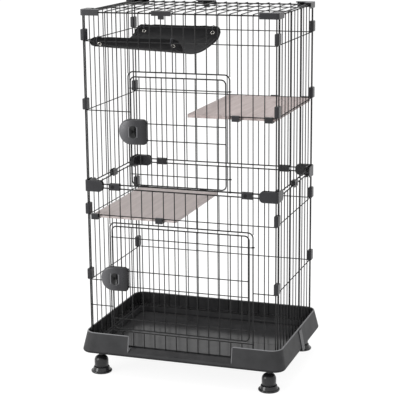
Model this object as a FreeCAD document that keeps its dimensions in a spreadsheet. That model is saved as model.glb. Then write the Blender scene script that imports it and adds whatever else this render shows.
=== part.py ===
import FreeCAD, Part
import Sketcher
import math
import os
from types import SimpleNamespace

V = FreeCAD.Vector

# Counts of the grid
FRONT_GAP_COUNT = 17
SIDE_GAP_COUNT = 11
UPPER_DOOR = (4, 13)
LOWER_DOOR = (2, 15)

# Sizes in millimetres and degrees, each with what it measures
SIZES = [
    ("wire_pitch", 35, "spacing of the grid wires"),
    ("frame_wire", 4, "thickness of the frame wires"),
    ("grid_wire", 3, "thickness of the grid wires"),
    ("weld_gap", 0.05, "gap at a welded crossing"),
    ("fit_gap", 0.3, "gap between pieces that sit together"),
    ("corner_inset", 16, "front wires ahead of the first side wire"),
    ("side_offset", 2.5, "side wires outside the last front wire"),
    ("lower_height", 498, "lower panels between their frame wires"),
    ("upper_height", 518, "upper panels between their frame wires"),
    ("tier_gap", 12, "lower top wire to upper bottom wire"),
    ("high_rail", 84.5, "first rail below the panel top"),
    ("mid_rail", 292, "second rail below the panel top"),
    ("low_rail", 374, "rail beside the lower door below the panel top"),
    ("roof_bar_front", 46, "front roof bar ahead of the middle"),
    ("roof_bar_back", 89, "rear roof bar behind the middle"),
    ("floor_lift", 71, "tray underside above the floor"),
    ("tray_height", 66, "height of the tray"),
    ("tray_wall", 4, "wall of the tray"),
    ("tray_floor", 4, "floor of the tray"),
    ("tray_ledge", 24, "ledge above the tray underside"),
    ("tray_reach_low", 32, "tray foot outside the outer wires"),
    ("tray_reach_top", 18.5, "tray rim outside the outer wires"),
    ("tray_corner", 36, "corner radius of the tray"),
    ("basin_inset", 10, "basin edge inside the outer wires"),
    ("basin_corner", 24, "corner radius of the basin"),
    ("doorway_width", 332, "width of the lowered front wall"),
    ("doorway_round", 6, "rounding of the wall ends at the doorway"),
    ("tray_foot", 7, "rounding of the tray under its wall"),
    ("rim_round", 1.6, "rounding of the tray rim"),
    ("sill_start", 4.5, "start of the sill ahead of the front wires"),
    ("sill_run", 55.5, "length of the sloping cut"),
    ("sill_drop", 21.6, "fall of the sloping cut"),
    ("seam_gap", 0.4, "gap between the tray halves"),
    ("strap_width", 28, "width of a tray strap"),
    ("strap_thickness", 2.4, "thickness of a tray strap"),
    ("strap_hook", 14, "reach of a strap under the tray"),
    ("strap_short", 5, "strap end below the rim"),
    ("boss_radius", 11, "radius of a boss under the tray"),
    ("boss_height", 5, "height of a boss under the tray"),
    ("boss_bore", 8, "depth of the stem bore"),
    ("upper_leaf_foot", 6, "upper leaf above the bottom wire"),
    ("upper_leaf_head", 15, "top of the upper opening above the leaf"),
    ("threshold_rise", 46.5, "threshold wire above the bottom wire"),
    ("lower_leaf_foot", 9.5, "lower leaf above the threshold wire"),
    ("lower_leaf_head", 10.5, "top of the lower opening above the leaf"),
    ("opening_corner", 16, "bend radius of the door frames"),
    ("leaf_height", 326, "height of a leaf"),
    ("leaf_lock_gap", 7, "leaf edge right of the left door post"),
    ("leaf_hinge_gap", 12, "leaf edge left of the right door post"),
    ("leaf_corner", 14, "bend radius of a leaf"),
    ("leaf_bar", 33.5, "hinge bars from the leaf ends"),
    ("leaf_middle_bar", 138, "middle bars from the leaf ends"),
    ("hinge_play", 0.4, "gap round the door post in a hinge eye"),
    ("lock_length", 88, "length of a lock cover"),
    ("lock_height", 77, "height of a lock cover"),
    ("lock_depth", 14, "depth of a lock cover"),
    ("lock_past", 28.5, "cover end left of the door post"),
    ("lock_round", 37, "corner radius at the cover's left"),
    ("lock_corner", 11, "corner radius at the cover's right"),
    ("lock_edge", 8, "rounding of a cover's front edge"),
    ("recess_width", 22, "width of the finger recess"),
    ("recess_height", 41, "height of the finger recess"),
    ("recess_depth", 8, "depth of the finger recess"),
    ("recess_shift", 19, "middle of the recess right of the door post"),
    ("recess_corner", 10.5, "corner radius of the finger recess"),
    ("ridge_width", 5, "width of a ridge beside the recess"),
    ("ridge_height", 2, "rise of a ridge beside the recess"),
    ("ridge_short", 4, "ridge end from the end of the recess"),
    ("ridge_round", 1.6, "rounding of a ridge beside the recess"),
    ("ridge_side", 1.2, "ridge from the side of the recess"),
    ("spacer_radius", 4, "radius of a lock spacer"),
    ("spacer_gap", 0.05, "gap at the ends of a lock spacer"),
    ("screw_left", 27.5, "left lock screw right of the door post"),
    ("screw_right", 53, "right lock screw right of the door post"),
    ("screw_bite", 4, "lock screw inside the cover"),
    ("plate_start", 15, "lock plate right of the door post"),
    ("plate_length", 43, "length of a lock plate"),
    ("plate_height", 62, "height of a lock plate"),
    ("plate_thickness", 3, "thickness of a lock plate"),
    ("tongue_reach", 11.5, "reach of the lock tongue"),
    ("tongue_low", 3, "bottom of the tongue above the lock middle"),
    ("tongue_height", 20, "height of the lock tongue"),
    ("screw_radius", 1.5, "radius of a lock screw"),
    ("screw_head", 3.2, "radius of a lock screw head"),
    ("screw_head_height", 2, "height of a lock screw head"),
    ("screw_gap", 0.05, "gap round a lock screw"),
    ("clip_width", 14, "width of an edge clip"),
    ("clip_height", 33.5, "height of an edge clip"),
    ("clip_margin", 6, "edge clip past its wires"),
    ("clip_above_rail", 1.8, "edge clip above the rail"),
    ("clip_round", 2.5, "rounding of an edge clip's ends"),
    ("joint_leg", 58, "leg of a corner joint"),
    ("joint_wall", 3, "wall of a corner joint"),
    ("joint_round", 8, "corner radius of a corner joint"),
    ("leg_round", 12.5, "rounding of a tier joint's leg ends"),
    ("tier_joint_height", 34, "height of a tier joint"),
    ("tier_web", 7, "web of a tier joint"),
    ("tier_clip_length", 34, "length of a tier clip"),
    ("tier_clip_height", 20, "height of a tier clip"),
    ("tier_clip_place", 209.5, "tier clips from the middle"),
    ("dimple_radius", 6, "radius of a tier clip's dimple"),
    ("dimple_depth", 1.2, "depth of a tier clip's dimple"),
    ("dimple_shift", 4, "dimple left of a tier clip's middle"),
    ("roof_joint_height", 18, "height of a roof joint"),
    ("roof_flange", 22, "width of a roof flange"),
    ("roof_clip_length", 60, "length of a roof clip"),
    ("roof_clip_place", -50, "middle of a roof clip"),
    ("roof_hook_width", 18, "width of a roof clip hook"),
    ("roof_hook_drop", 10, "drop of a roof clip hook"),
    ("shelf_thickness", 9, "thickness of a shelf"),
    ("shelf_width", 271, "width of a shelf"),
    ("shelf_corner", 8, "corner radius of a shelf"),
    ("shelf_gap", 0.5, "gap between a shelf and the rails"),
    ("lower_shelf_gap", 9, "lower shelf from the left rail"),
    ("holder_width", 22, "width of a shelf holder"),
    ("holder_front", 8, "holder ahead of the rail"),
    ("holder_under", 16, "holder under the shelf"),
    ("holder_lip", 4.4, "thickness under the shelf"),
    ("holder_cap", 1.8, "thickness over the rail"),
    ("holder_edge", 276, "outer holders from the middle"),
    ("upper_holder", 175, "inner upper holders from the middle"),
    ("lower_holder", 67, "inner lower holders from the middle"),
    ("hammock_left", 293, "left edge of the hammock from the middle"),
    ("hammock_width", 302, "width of the hammock"),
    ("hammock_gap", 8.95, "hammock edge from the rail"),
    ("hammock_sag", 52, "sag of the hammock"),
    ("hammock_bend", 660, "bend radius of the hammock's middle"),
    ("hammock_flat", 160, "gentle middle of the hammock from its centre"),
    ("hammock_cloth", 3, "thickness of the hammock"),
    ("hammock_waist", 14, "hollow of the hammock sides"),
    ("hammock_round", 22, "corner radius of the hammock"),
    ("cut_margin", 5, "cuts past what they cut"),
    ("eyelet_inset", 12, "eyelets from the hammock edge"),
    ("eyelet_below", 9.5, "eyelets below the rail"),
    ("eyelet_left", 37, "left eyelets from the hammock's left side"),
    ("eyelet_right", 32, "right eyelets from the hammock's right side"),
    ("eyelet_radius", 7, "radius of an eyelet"),
    ("eyelet_bore", 4, "bore radius of an eyelet"),
    ("eyelet_height", 4.6, "height of an eyelet"),
    ("eyelet_gap", 0.1, "gap round an eyelet"),
    ("ring_wire", 1, "wire radius of a split ring"),
    ("ring_radius", 12.9, "radius of a split ring"),
    ("ring_pull", 2.4, "split ring toward the edge in its eyelet"),
    ("caster_x", 273.5, "casters from the middle along the front"),
    ("caster_y", 195, "casters from the middle along the side"),
    ("cup_radius", 33, "foot radius of a caster cup"),
    ("cup_brim", 7, "brim height at the foot of a caster cup"),
    ("cup_shoulder", 28.5, "radius of a caster cup at its brim"),
    ("cup_top", 24.6, "rim radius of a caster cup"),
    ("cup_round", 3.2, "rounding of a caster cup's brim"),
    ("cup_bore", 22.6, "inner radius of a caster cup"),
    ("cup_height", 17, "height of a caster cup"),
    ("cup_base", 3, "base of a caster cup"),
    ("wheel_radius", 17, "radius of a wheel"),
    ("wheel_width", 9, "width of a wheel"),
    ("wheel_gap", 0.4, "gap under and beside a wheel"),
    ("wheel_edge", 3, "bevel of a wheel"),
    ("hood_radius", 22, "radius of a caster hood"),
    ("hood_wall", 1.8, "wall of a caster hood"),
    ("hood_rise", 1.3, "hood above the cup rim"),
    ("hood_top", 55, "top of a caster hood above the floor"),
    ("hood_round", 17, "top rounding of a caster hood"),
    ("arch_radius", 15, "radius of a hood's wheel arch"),
    ("arch_depth", 13, "wheel arches from the middle of the hood"),
    ("web_thickness", 6, "web between the wheels"),
    ("web_drop", 8, "web below the axle"),
    ("axle_radius", 2.5, "radius of an axle"),
    ("axle_fit", 0.05, "gap round an axle in the web"),
    ("wheel_fit", 0.1, "gap round an axle in a wheel"),
    ("stem_radius", 4, "radius of a caster stem"),
    ("stem_fit", 0.08, "gap round a caster stem"),
    ("stem_seat", 10, "stem inside the hood"),
    ("collar_radius", 7, "radius of the stem collar"),
    ("collar_height", 4, "height of the stem collar"),
    ("turn_front_left", 28, "rest turn of the front left caster"),
    ("turn_front_right", -24, "rest turn of the front right caster"),
    ("turn_back_left", 62, "rest turn of the back left caster"),
    ("turn_back_right", 12, "rest turn of the back right caster"),
]


class Size:
    """A length together with the sheet formula that gives it."""

    def __init__(self, value, text):
        self.value = value
        self.text = text

    def __add__(self, other):
        other = as_size(other)
        return Size(self.value + other.value, f"({self.text} + {other.text})")

    def __sub__(self, other):
        other = as_size(other)
        return Size(self.value - other.value, f"({self.text} - {other.text})")

    def __mul__(self, other):
        other = as_size(other)
        return Size(self.value * other.value, f"({self.text} * {other.text})")

    def __truediv__(self, other):
        other = as_size(other)
        return Size(self.value / other.value, f"({self.text} / {other.text})")

    def __neg__(self):
        return self * -1

    def __rsub__(self, other):
        return as_size(other) - self

    __radd__ = __add__
    __rmul__ = __mul__


def as_size(number):
    return number if isinstance(number, Size) else Size(float(number), f"({number})")


def root(size):
    return Size(math.sqrt(size.value), f"sqrt({size.text})")


os.makedirs("parts", exist_ok=True)
doc = FreeCAD.newDocument("CatCage")
sheet = doc.addObject("Spreadsheet::Sheet", "Sizes")
for row, (alias, number, meaning) in enumerate(SIZES, 1):
    sheet.set(f"A{row}", meaning)
    sheet.set(f"B{row}", str(number))
    sheet.setAlias(f"B{row}", alias)
doc.recompute()
s = SimpleNamespace(**{alias: Size(float(number), f"Sizes.{alias}") for alias, number, meaning in SIZES})

# Places worked out from the sizes
half_width = s.wire_pitch * FRONT_GAP_COUNT / 2
half_depth = s.wire_pitch * SIDE_GAP_COUNT / 2
front_plane = half_depth + s.corner_inset
side_plane = half_width + s.side_offset
tray_bottom = s.floor_lift
tray_rim = tray_bottom + s.tray_height
ledge_top = tray_bottom + s.tray_ledge
lower_bottom = ledge_top + s.frame_wire / 2
lower_top = lower_bottom + s.lower_height
upper_bottom = lower_top + s.tier_gap
upper_top = upper_bottom + s.upper_height
rail_depth = (s.frame_wire + s.grid_wire) / 2 + s.weld_gap
frame_rail_depth = s.frame_wire + s.weld_gap
FACES = {"front": ("x", -1), "back": ("x", 1), "left": ("y", -1), "right": ("y", 1)}
CORNERS = {"front_left": (-1, -1), "front_right": (1, -1), "back_left": (-1, 1), "back_right": (1, 1)}
TURNED = {
    "x": FreeCAD.Rotation(V(0, 1, 0), 90),
    "y": FreeCAD.Rotation(V(1, 0, 0), -90),
    "z": FreeCAD.Rotation(),
}
nodes = []


# Building blocks
def tie(thing, name, size):
    thing.setExpression(name, as_size(size).text)


def place(thing, spot):
    for axis, size in zip("xyz", spot):
        tie(thing, f"Placement.Base.{axis}", size)


def wire(spot, along, length, diameter):
    bar = doc.addObject("Part::Cylinder", "Wire")
    bar.Placement.Rotation = TURNED[along]
    place(bar, spot)
    tie(bar, "Height", length)
    tie(bar, "Radius", diameter / 2)
    return bar


def block(low, high):
    box = doc.addObject("Part::Box", "Block")
    place(box, low)
    for name, start, end in zip(("Length", "Width", "Height"), low, high):
        tie(box, name, as_size(end) - start)
    return box


def node(label, pieces):
    group = doc.addObject("Part::Compound", label)
    group.Links = pieces
    group.Label = label
    nodes.append(group)
    return group


def single(label, thing):
    thing.Label = label
    nodes.append(thing)
    return thing


def new_body(label):
    return doc.addObject("PartDesign::Body", label)


def new_sketch(body, role, offset=0):
    sketch = body.newObject("Sketcher::SketchObject", "Sketch")
    plane = [feature for feature in body.Origin.OriginFeatures if feature.Role == role][0]
    sketch.AttachmentSupport = [(plane, "")]
    sketch.MapMode = "FlatFace"
    tie(sketch, "AttachmentOffset.Base.z", offset)
    return sketch


def hold(sketch, constraint, size):
    index = sketch.addConstraint(constraint)
    tie(sketch, f"Constraints[{index}]", size)


def pin(sketch, piece, end, spot):
    x, y = as_size(spot[0]), as_size(spot[1])
    hold(sketch, Sketcher.Constraint("DistanceX", -1, 1, piece, end, x.value), x)
    hold(sketch, Sketcher.Constraint("DistanceY", -1, 1, piece, end, y.value), y)


def circle(sketch, spot, radius):
    middle = V(as_size(spot[0]).value, as_size(spot[1]).value, 0)
    piece = sketch.addGeometry(Part.Circle(middle, V(0, 0, 1), radius.value))
    pin(sketch, piece, 3, spot)
    hold(sketch, Sketcher.Constraint("Radius", piece, radius.value), radius)


def arc_piece(sketch, start, end, bend):
    middle, radius, left = bend
    first, last = (start, end) if left else (end, start)
    begin = math.atan2(first.y - middle[1], first.x - middle[0])
    finish = math.atan2(last.y - middle[1], last.x - middle[0])
    if finish <= begin:
        finish += 2 * math.pi
    round_line = Part.Circle(V(middle[0], middle[1], 0), V(0, 0, 1), radius.value)
    piece = sketch.addGeometry(Part.ArcOfCircle(round_line, begin, finish))
    hold(sketch, Sketcher.Constraint("Radius", piece, radius.value), radius)
    return (piece, 1, 2) if left else (piece, 2, 1)


def trace(sketch, spots, bends=None, closed=True):
    """Draws lines and arcs through the spots, each spot tied to its sizes."""
    bends = bends or {}
    spots = [(as_size(x), as_size(y)) for x, y in spots]
    points = [V(x.value, y.value, 0) for x, y in spots]
    count = len(spots) if closed else len(spots) - 1
    drawn = []
    for index in range(count):
        start, end = points[index], points[(index + 1) % len(points)]
        if index in bends:
            drawn.append(arc_piece(sketch, start, end, bends[index]))
        else:
            drawn.append((sketch.addGeometry(Part.LineSegment(start, end)), 1, 2))
    for index, (piece, here, there) in enumerate(drawn):
        pin(sketch, piece, here, spots[index])
        if closed or index < count - 1:
            after = drawn[(index + 1) % count]
            sketch.addConstraint(Sketcher.Constraint("Coincident", piece, there, after[0], after[1]))
    if not closed:
        pin(sketch, drawn[-1][0], drawn[-1][2], spots[-1])
    return count


def rounded(spots, radii, closed=True):
    """Replaces square corners by bends; returns the spots and the bends between them."""
    spots = [(as_size(x), as_size(y)) for x, y in spots]
    result = []
    bends = {}
    for index, (x, y) in enumerate(spots):
        radius = radii[index]
        if radius is None:
            result.append((x, y))
            continue
        ways = []
        for other in (spots[index - 1], spots[(index + 1) % len(spots)]):
            dx, dy = other[0].value - x.value, other[1].value - y.value
            ways.append((math.copysign(1, dx), 0) if abs(dx) > abs(dy) else (0, math.copysign(1, dy)))
        back, ahead = ways
        middle = (
            x.value + radius.value * (back[0] + ahead[0]),
            y.value + radius.value * (back[1] + ahead[1]),
        )
        bends[len(result)] = (middle, radius, back[1] * ahead[0] - back[0] * ahead[1] > 0)
        result.append((x + radius * back[0], y + radius * back[1]))
        result.append((x + radius * ahead[0], y + radius * ahead[1]))
    return result, bends


def rectangle(sketch, low, high, radius=None):
    spots = [(low[0], low[1]), (high[0], low[1]), (high[0], high[1]), (low[0], high[1])]
    radii = radius if isinstance(radius, list) else [radius] * 4
    trace(sketch, *rounded(spots, radii))


def pad(body, sketch, length, both=False, back=False):
    feature = body.newObject("PartDesign::Pad", "Pad")
    feature.Profile = sketch
    tie(feature, "Length", length)
    feature.SideType = "Symmetric" if both else "One side"
    feature.Reversed = back
    return feature


def pocket(body, sketch, length, both=False, back=False):
    feature = body.newObject("PartDesign::Pocket", "Pocket")
    feature.Profile = sketch
    tie(feature, "Length", length)
    feature.SideType = "Symmetric" if both else "One side"
    feature.Reversed = back
    return feature


def revolve(body, sketch, axis="V_Axis"):
    feature = body.newObject("PartDesign::Revolution", "Revolution")
    feature.Profile = sketch
    feature.ReferenceAxis = (sketch, [axis])
    feature.Angle = 360
    return feature


def loft(body, kind, first, last):
    feature = body.newObject(f"PartDesign::{kind}Loft", "Loft")
    feature.Profile = first
    feature.Sections = [(last, [""])]
    feature.Ruled = True
    return feature


TOUCH = 0.001


def soften(body, radius, wanted):
    """Rounds the edges of a body whose two ends and middle are all wanted."""
    doc.recompute()
    names = []
    for index, edge in enumerate(body.Shape.Edges):
        spots = [vertex.Point for vertex in edge.Vertexes]
        spots.append(edge.valueAt((edge.FirstParameter + edge.LastParameter) / 2))
        if all(wanted(spot) for spot in spots):
            names.append(f"Edge{index + 1}")
    base = body.Tip
    feature = body.newObject("PartDesign::Fillet", "Rounding")
    feature.Base = (base, names)
    tie(feature, "Radius", radius)


def bent_wire(plane, plane_offset, path, round_plane, round_offset, round_spot, diameter, closed=False):
    """A round wire along a path of lines and arcs."""
    body = new_body("BentWire")
    line = new_sketch(body, plane, plane_offset)
    count = trace(line, *path, closed=closed)
    section = new_sketch(body, round_plane, round_offset)
    circle(section, round_spot, diameter / 2)
    pipe = body.newObject("PartDesign::AdditivePipe", "Pipe")
    pipe.Profile = section
    pipe.Spine = (line, [f"Edge{index + 1}" for index in range(count)])
    return body


# Wire panels
def half_of(face):
    return half_width if FACES[face][0] == "x" else half_depth


def plane_of(face):
    return front_plane if FACES[face][0] == "x" else side_plane


def at_face(face, along, out, height):
    axis, sign = FACES[face]
    return (along, out * sign, height) if axis == "x" else (out * sign, along, height)


def grid_place(face, index):
    return s.wire_pitch * index - half_of(face)


def upright(face, along, bottom, top, diameter):
    out = plane_of(face) - (s.frame_wire - diameter) / 2
    return wire(at_face(face, along, out, bottom), "z", top - bottom, diameter)


def rail(face, start, end, height, diameter):
    out = plane_of(face) - (s.frame_wire + diameter) / 2 - s.weld_gap
    return wire(at_face(face, start, out, height), FACES[face][0], end - start, diameter)


def full_panel(label, face, bottom, top):
    gaps = FRONT_GAP_COUNT if FACES[face][0] == "x" else SIDE_GAP_COUNT
    edge = half_of(face) + s.frame_wire / 2
    low, high = bottom - s.frame_wire / 2, top + s.frame_wire / 2
    wires = []
    for index in range(gaps + 1):
        thick = s.frame_wire if index in (0, gaps) else s.grid_wire
        wires.append(upright(face, grid_place(face, index), low, high, thick))
    wires.append(rail(face, -edge, edge, bottom, s.frame_wire))
    wires.append(rail(face, -edge, edge, top, s.frame_wire))
    wires.append(rail(face, -edge, edge, top - s.high_rail, s.grid_wire))
    wires.append(rail(face, -edge, edge, top - s.mid_rail, s.grid_wire))
    node(label, wires)


def door_panel(label, bottom, top, door, opening_top, side_rails, threshold=None):
    """Front panel with an opening between two grid places, and its rails beside the opening."""
    first, last = door
    face = "front"
    edge = half_width + s.frame_wire / 2
    low, high = bottom - s.frame_wire / 2, top + s.frame_wire / 2
    outer_bend = s.opening_corner + s.frame_wire / 2 + s.weld_gap
    inner_reach = s.opening_corner - s.grid_wire / 2
    shoulder = opening_top - s.opening_corner + root(outer_bend * outer_bend - inner_reach * inner_reach)
    crown = opening_top + s.frame_wire / 2 + s.weld_gap
    wires = []
    for index in range(FRONT_GAP_COUNT + 1):
        along = grid_place(face, index)
        if index in (0, FRONT_GAP_COUNT):
            wires.append(upright(face, along, low, high, s.frame_wire))
        elif index < first or index > last:
            wires.append(upright(face, along, low, high, s.grid_wire))
        else:
            foot = shoulder if index in door else crown
            wires.append(upright(face, along, foot, high, s.grid_wire))
            if threshold and index not in door:
                wires.append(upright(face, along, low, threshold + s.grid_wire / 2, s.grid_wire))
    left_post, right_post = grid_place(face, first), grid_place(face, last)
    past = s.frame_wire / 2
    wires.append(rail(face, -edge, edge, bottom, s.frame_wire))
    wires.append(rail(face, -edge, edge, top, s.frame_wire))
    wires.append(rail(face, -edge, edge, top - s.high_rail, s.grid_wire))
    for drop in side_rails:
        wires.append(rail(face, -edge, left_post + past, top - drop, s.grid_wire))
        wires.append(rail(face, right_post - past, edge, top - drop, s.grid_wire))
    if threshold:
        wires.append(rail(face, left_post - past, right_post + past, threshold, s.grid_wire))
    node(label, wires)


threshold_level = lower_bottom + s.threshold_rise
upper_leaf_top = upper_bottom + s.upper_leaf_foot + s.leaf_height
lower_leaf_top = threshold_level + s.lower_leaf_foot + s.leaf_height
upper_opening_top = upper_leaf_top + s.upper_leaf_head
lower_opening_top = lower_leaf_top + s.lower_leaf_head
door_panel("upper_front_panel", upper_bottom, upper_top, UPPER_DOOR, upper_opening_top, [s.mid_rail])
door_panel(
    "lower_front_panel", lower_bottom, lower_top, LOWER_DOOR, lower_opening_top,
    [s.mid_rail, s.low_rail], threshold_level,
)
for face in ("back", "left", "right"):
    full_panel(f"upper_{face}_panel", face, upper_bottom, upper_top)
    full_panel(f"lower_{face}_panel", face, lower_bottom, lower_top)

# Roof panel, resting on the top wires of the upper panels
roof_reach = front_plane - s.frame_wire / 2 - s.weld_gap
roof_frame_y = front_plane - frame_rail_depth - s.frame_wire - s.fit_gap
roof_side_x = side_plane - frame_rail_depth - s.frame_wire - s.fit_gap
roof_bar_level = upper_top + s.frame_wire / 2 + s.weld_gap
roof_wires = []
for index in range(1, FRONT_GAP_COUNT):
    spot = (grid_place("front", index), -roof_reach, roof_bar_level + s.grid_wire / 2)
    roof_wires.append(wire(spot, "y", roof_reach * 2, s.grid_wire))
for side in (-1, 1):
    spot = (roof_side_x * side, -roof_reach, roof_bar_level + s.frame_wire / 2)
    roof_wires.append(wire(spot, "y", roof_reach * 2, s.frame_wire))
    spot = (-roof_side_x - s.frame_wire / 2, roof_frame_y * side, upper_top)
    roof_wires.append(wire(spot, "x", roof_side_x * 2 + s.frame_wire, s.frame_wire))
for bar_y in (-s.roof_bar_front, s.roof_bar_back):
    spot = (-roof_side_x - s.frame_wire / 2, bar_y, roof_bar_level - s.weld_gap - s.grid_wire / 2)
    roof_wires.append(wire(spot, "x", roof_side_x * 2 + s.frame_wire, s.grid_wire))
node("roof_panel", roof_wires)


# Door frames, door leaves and locks
def door_frame(label, door, bottom, opening_top):
    left, right = grid_place("front", door[0]), grid_place("front", door[1])
    foot = bottom - s.frame_wire / 2
    spots = [(left, foot), (left, opening_top), (right, opening_top), (right, foot)]
    path = rounded(spots, [None, s.opening_corner, s.opening_corner, None])
    spot = (left, -front_plane)
    single(label, bent_wire("XZ_Plane", front_plane, path, "XY_Plane", foot, spot, s.frame_wire))


def door_leaf(label, door, leaf_top):
    left_post, right_post = grid_place("front", door[0]), grid_place("front", door[1])
    left, right = left_post + s.leaf_lock_gap, right_post - s.leaf_hinge_gap
    leaf_bottom = leaf_top - s.leaf_height
    eye = s.frame_wire / 2 + s.hinge_play + s.grid_wire / 2
    bar_plane = front_plane + eye
    upright_plane = bar_plane - s.grid_wire - s.weld_gap
    loop_plane = bar_plane - rail_depth
    middle = leaf_top - s.leaf_height / 2
    spots = [(left, middle), (left, leaf_top), (right, leaf_top), (right, leaf_bottom), (left, leaf_bottom)]
    path = rounded(spots, [None] + [s.leaf_corner] * 4)
    pieces = [
        bent_wire("XZ_Plane", loop_plane, path, "XY_Plane", middle, (left, -loop_plane), s.frame_wire, True)
    ]
    inside = s.frame_wire / 2 + s.weld_gap
    for index in range(door[0] + 1, door[1]):
        spot = (grid_place("front", index), -upright_plane, leaf_bottom + inside)
        pieces.append(wire(spot, "z", s.leaf_height - inside * 2, s.grid_wire))
    start = left - s.frame_wire / 2
    for level in (leaf_top - s.leaf_middle_bar, leaf_bottom + s.leaf_middle_bar):
        pieces.append(wire((start, -bar_plane, level), "x", right - left + s.frame_wire, s.grid_wire))
    for level in (leaf_top - s.leaf_bar, leaf_bottom + s.leaf_bar):
        spots = [(start, -bar_plane), (right_post, -bar_plane), (right_post - eye, -front_plane)]
        bends = {1: ((right_post.value, -front_plane.value), eye, True)}
        path = (spots, bends)
        pieces.append(
            bent_wire("XY_Plane", level, path, "YZ_Plane", start, (-bar_plane, level), s.grid_wire)
        )
    node(label, pieces)
    return bar_plane + s.grid_wire / 2


def door_lock(name, door, leaf_top, bar_front):
    """Cover before the leaf, plate behind it, spacers and screws between the leaf wires."""
    post = grid_place("front", door[0])
    middle = leaf_top - s.leaf_height / 2
    cover_back = bar_front + s.fit_gap
    plate_front = front_plane - s.frame_wire / 2 - s.fit_gap
    plate_back = plate_front - s.plate_thickness
    cover = new_body(f"{name}_lock_cover")
    outline = new_sketch(cover, "XZ_Plane", cover_back)
    left, right = post - s.lock_past, post - s.lock_past + s.lock_length
    low, high = middle - s.lock_height / 2, middle + s.lock_height / 2
    radii = [s.lock_round, s.lock_corner, s.lock_corner, s.lock_round]
    rectangle(outline, (left, low), (right, high), radii)
    pad(cover, outline, s.lock_depth)
    cover_front = cover_back + s.lock_depth
    soften(cover, s.lock_edge, lambda spot: abs(spot.y + cover_front.value) < TOUCH)
    hollow = new_sketch(cover, "XZ_Plane", cover_back + s.lock_depth)
    recess_left = post + s.recess_shift - s.recess_width / 2
    recess_right = recess_left + s.recess_width
    recess_low, recess_high = middle - s.recess_height / 2, middle + s.recess_height / 2
    rectangle(hollow, (recess_left, recess_low), (recess_right, recess_high), s.recess_corner)
    pocket(cover, hollow, s.recess_depth)
    for start in (recess_left - s.ridge_side - s.ridge_width, recess_right + s.ridge_side):
        ridge = new_sketch(cover, "XZ_Plane", cover_back + s.lock_depth)
        ridge_low, ridge_high = recess_low + s.ridge_short, recess_high - s.ridge_short
        rectangle(ridge, (start, ridge_low), (start + s.ridge_width, ridge_high), s.ridge_width * 0.45)
        pad(cover, ridge, s.ridge_height)
    soften(cover, s.ridge_round, lambda spot: abs(spot.y + cover_front.value + s.ridge_height.value) < TOUCH)
    bores = new_sketch(cover, "XZ_Plane", cover_back)
    for reach in (s.screw_left, s.screw_right):
        circle(bores, (post + reach, middle), s.screw_radius + s.screw_gap)
    pocket(cover, bores, s.screw_bite + s.fit_gap, back=True)
    single(f"{name}_lock_cover", cover)
    plate = new_body(f"{name}_lock_plate")
    shape = new_sketch(plate, "XZ_Plane", plate_back)
    start = post + s.plate_start
    tongue_low = middle + s.tongue_low
    tongue_high = tongue_low + s.tongue_height
    trace(shape, [
        (start, middle - s.plate_height / 2),
        (start + s.plate_length, middle - s.plate_height / 2),
        (start + s.plate_length, middle + s.plate_height / 2),
        (start, middle + s.plate_height / 2),
        (start, tongue_high),
        (start - s.tongue_reach, tongue_high),
        (start - s.tongue_reach, tongue_low),
        (start, tongue_low),
    ])
    for reach in (s.screw_left, s.screw_right):
        circle(shape, (post + reach, middle), s.screw_radius + s.screw_gap)
    pad(plate, shape, s.plate_thickness)
    single(f"{name}_lock_plate", plate)
    screw_length = cover_back - plate_back + s.screw_bite
    spacers = []
    screws = []
    for reach in (s.screw_left, s.screw_right):
        spacer = new_body("LockSpacer")
        ring = new_sketch(spacer, "XZ_Plane", plate_front + s.spacer_gap)
        circle(ring, (post + reach, middle), s.spacer_radius)
        circle(ring, (post + reach, middle), s.screw_radius + s.screw_gap)
        pad(spacer, ring, cover_back - plate_front - s.spacer_gap * 2)
        spacers.append(spacer)
        screw = new_body("LockScrew")
        head = new_sketch(screw, "XZ_Plane", plate_back)
        circle(head, (post + reach, middle), s.screw_head)
        pad(screw, head, s.screw_head_height, back=True)
        shank = new_sketch(screw, "XZ_Plane", plate_back)
        circle(shank, (post + reach, middle), s.screw_radius)
        pad(screw, shank, screw_length)
        screws.append(screw)
    node(f"{name}_lock_spacers", spacers)
    node(f"{name}_lock_screws", screws)


door_frame("upper_door_frame", UPPER_DOOR, upper_bottom, upper_opening_top)
door_frame("lower_door_frame", LOWER_DOOR, lower_bottom, lower_opening_top)
for name, door, leaf_top in (
    ("upper", UPPER_DOOR, upper_leaf_top),
    ("lower", LOWER_DOOR, lower_leaf_top),
):
    bar_front = door_leaf(f"{name}_door_leaf", door, leaf_top)
    door_lock(name, door, leaf_top, bar_front)


# Clips and joints
def corner_outline(sketch, corner, x, y, thickness, leg, radius):
    """Plan of a corner strip whose outer faces are at x and y."""
    sx, sy = CORNERS[corner]
    spots = [
        (x * sx, y * sy),
        ((x - leg) * sx, y * sy),
        ((x - leg) * sx, (y - thickness) * sy),
        ((x - thickness) * sx, (y - thickness) * sy),
        ((x - thickness) * sx, (y - leg) * sy),
        (x * sx, (y - leg) * sy),
    ]
    trace(sketch, *rounded(spots, [radius] + [None] * 5))


def corner_strip(body, corner, x, y, thickness, leg, radius, bottom, height):
    plan = new_sketch(body, "XY_Plane", bottom)
    corner_outline(plan, corner, x, y, thickness, leg, radius)
    pad(body, plan, height)


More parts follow.
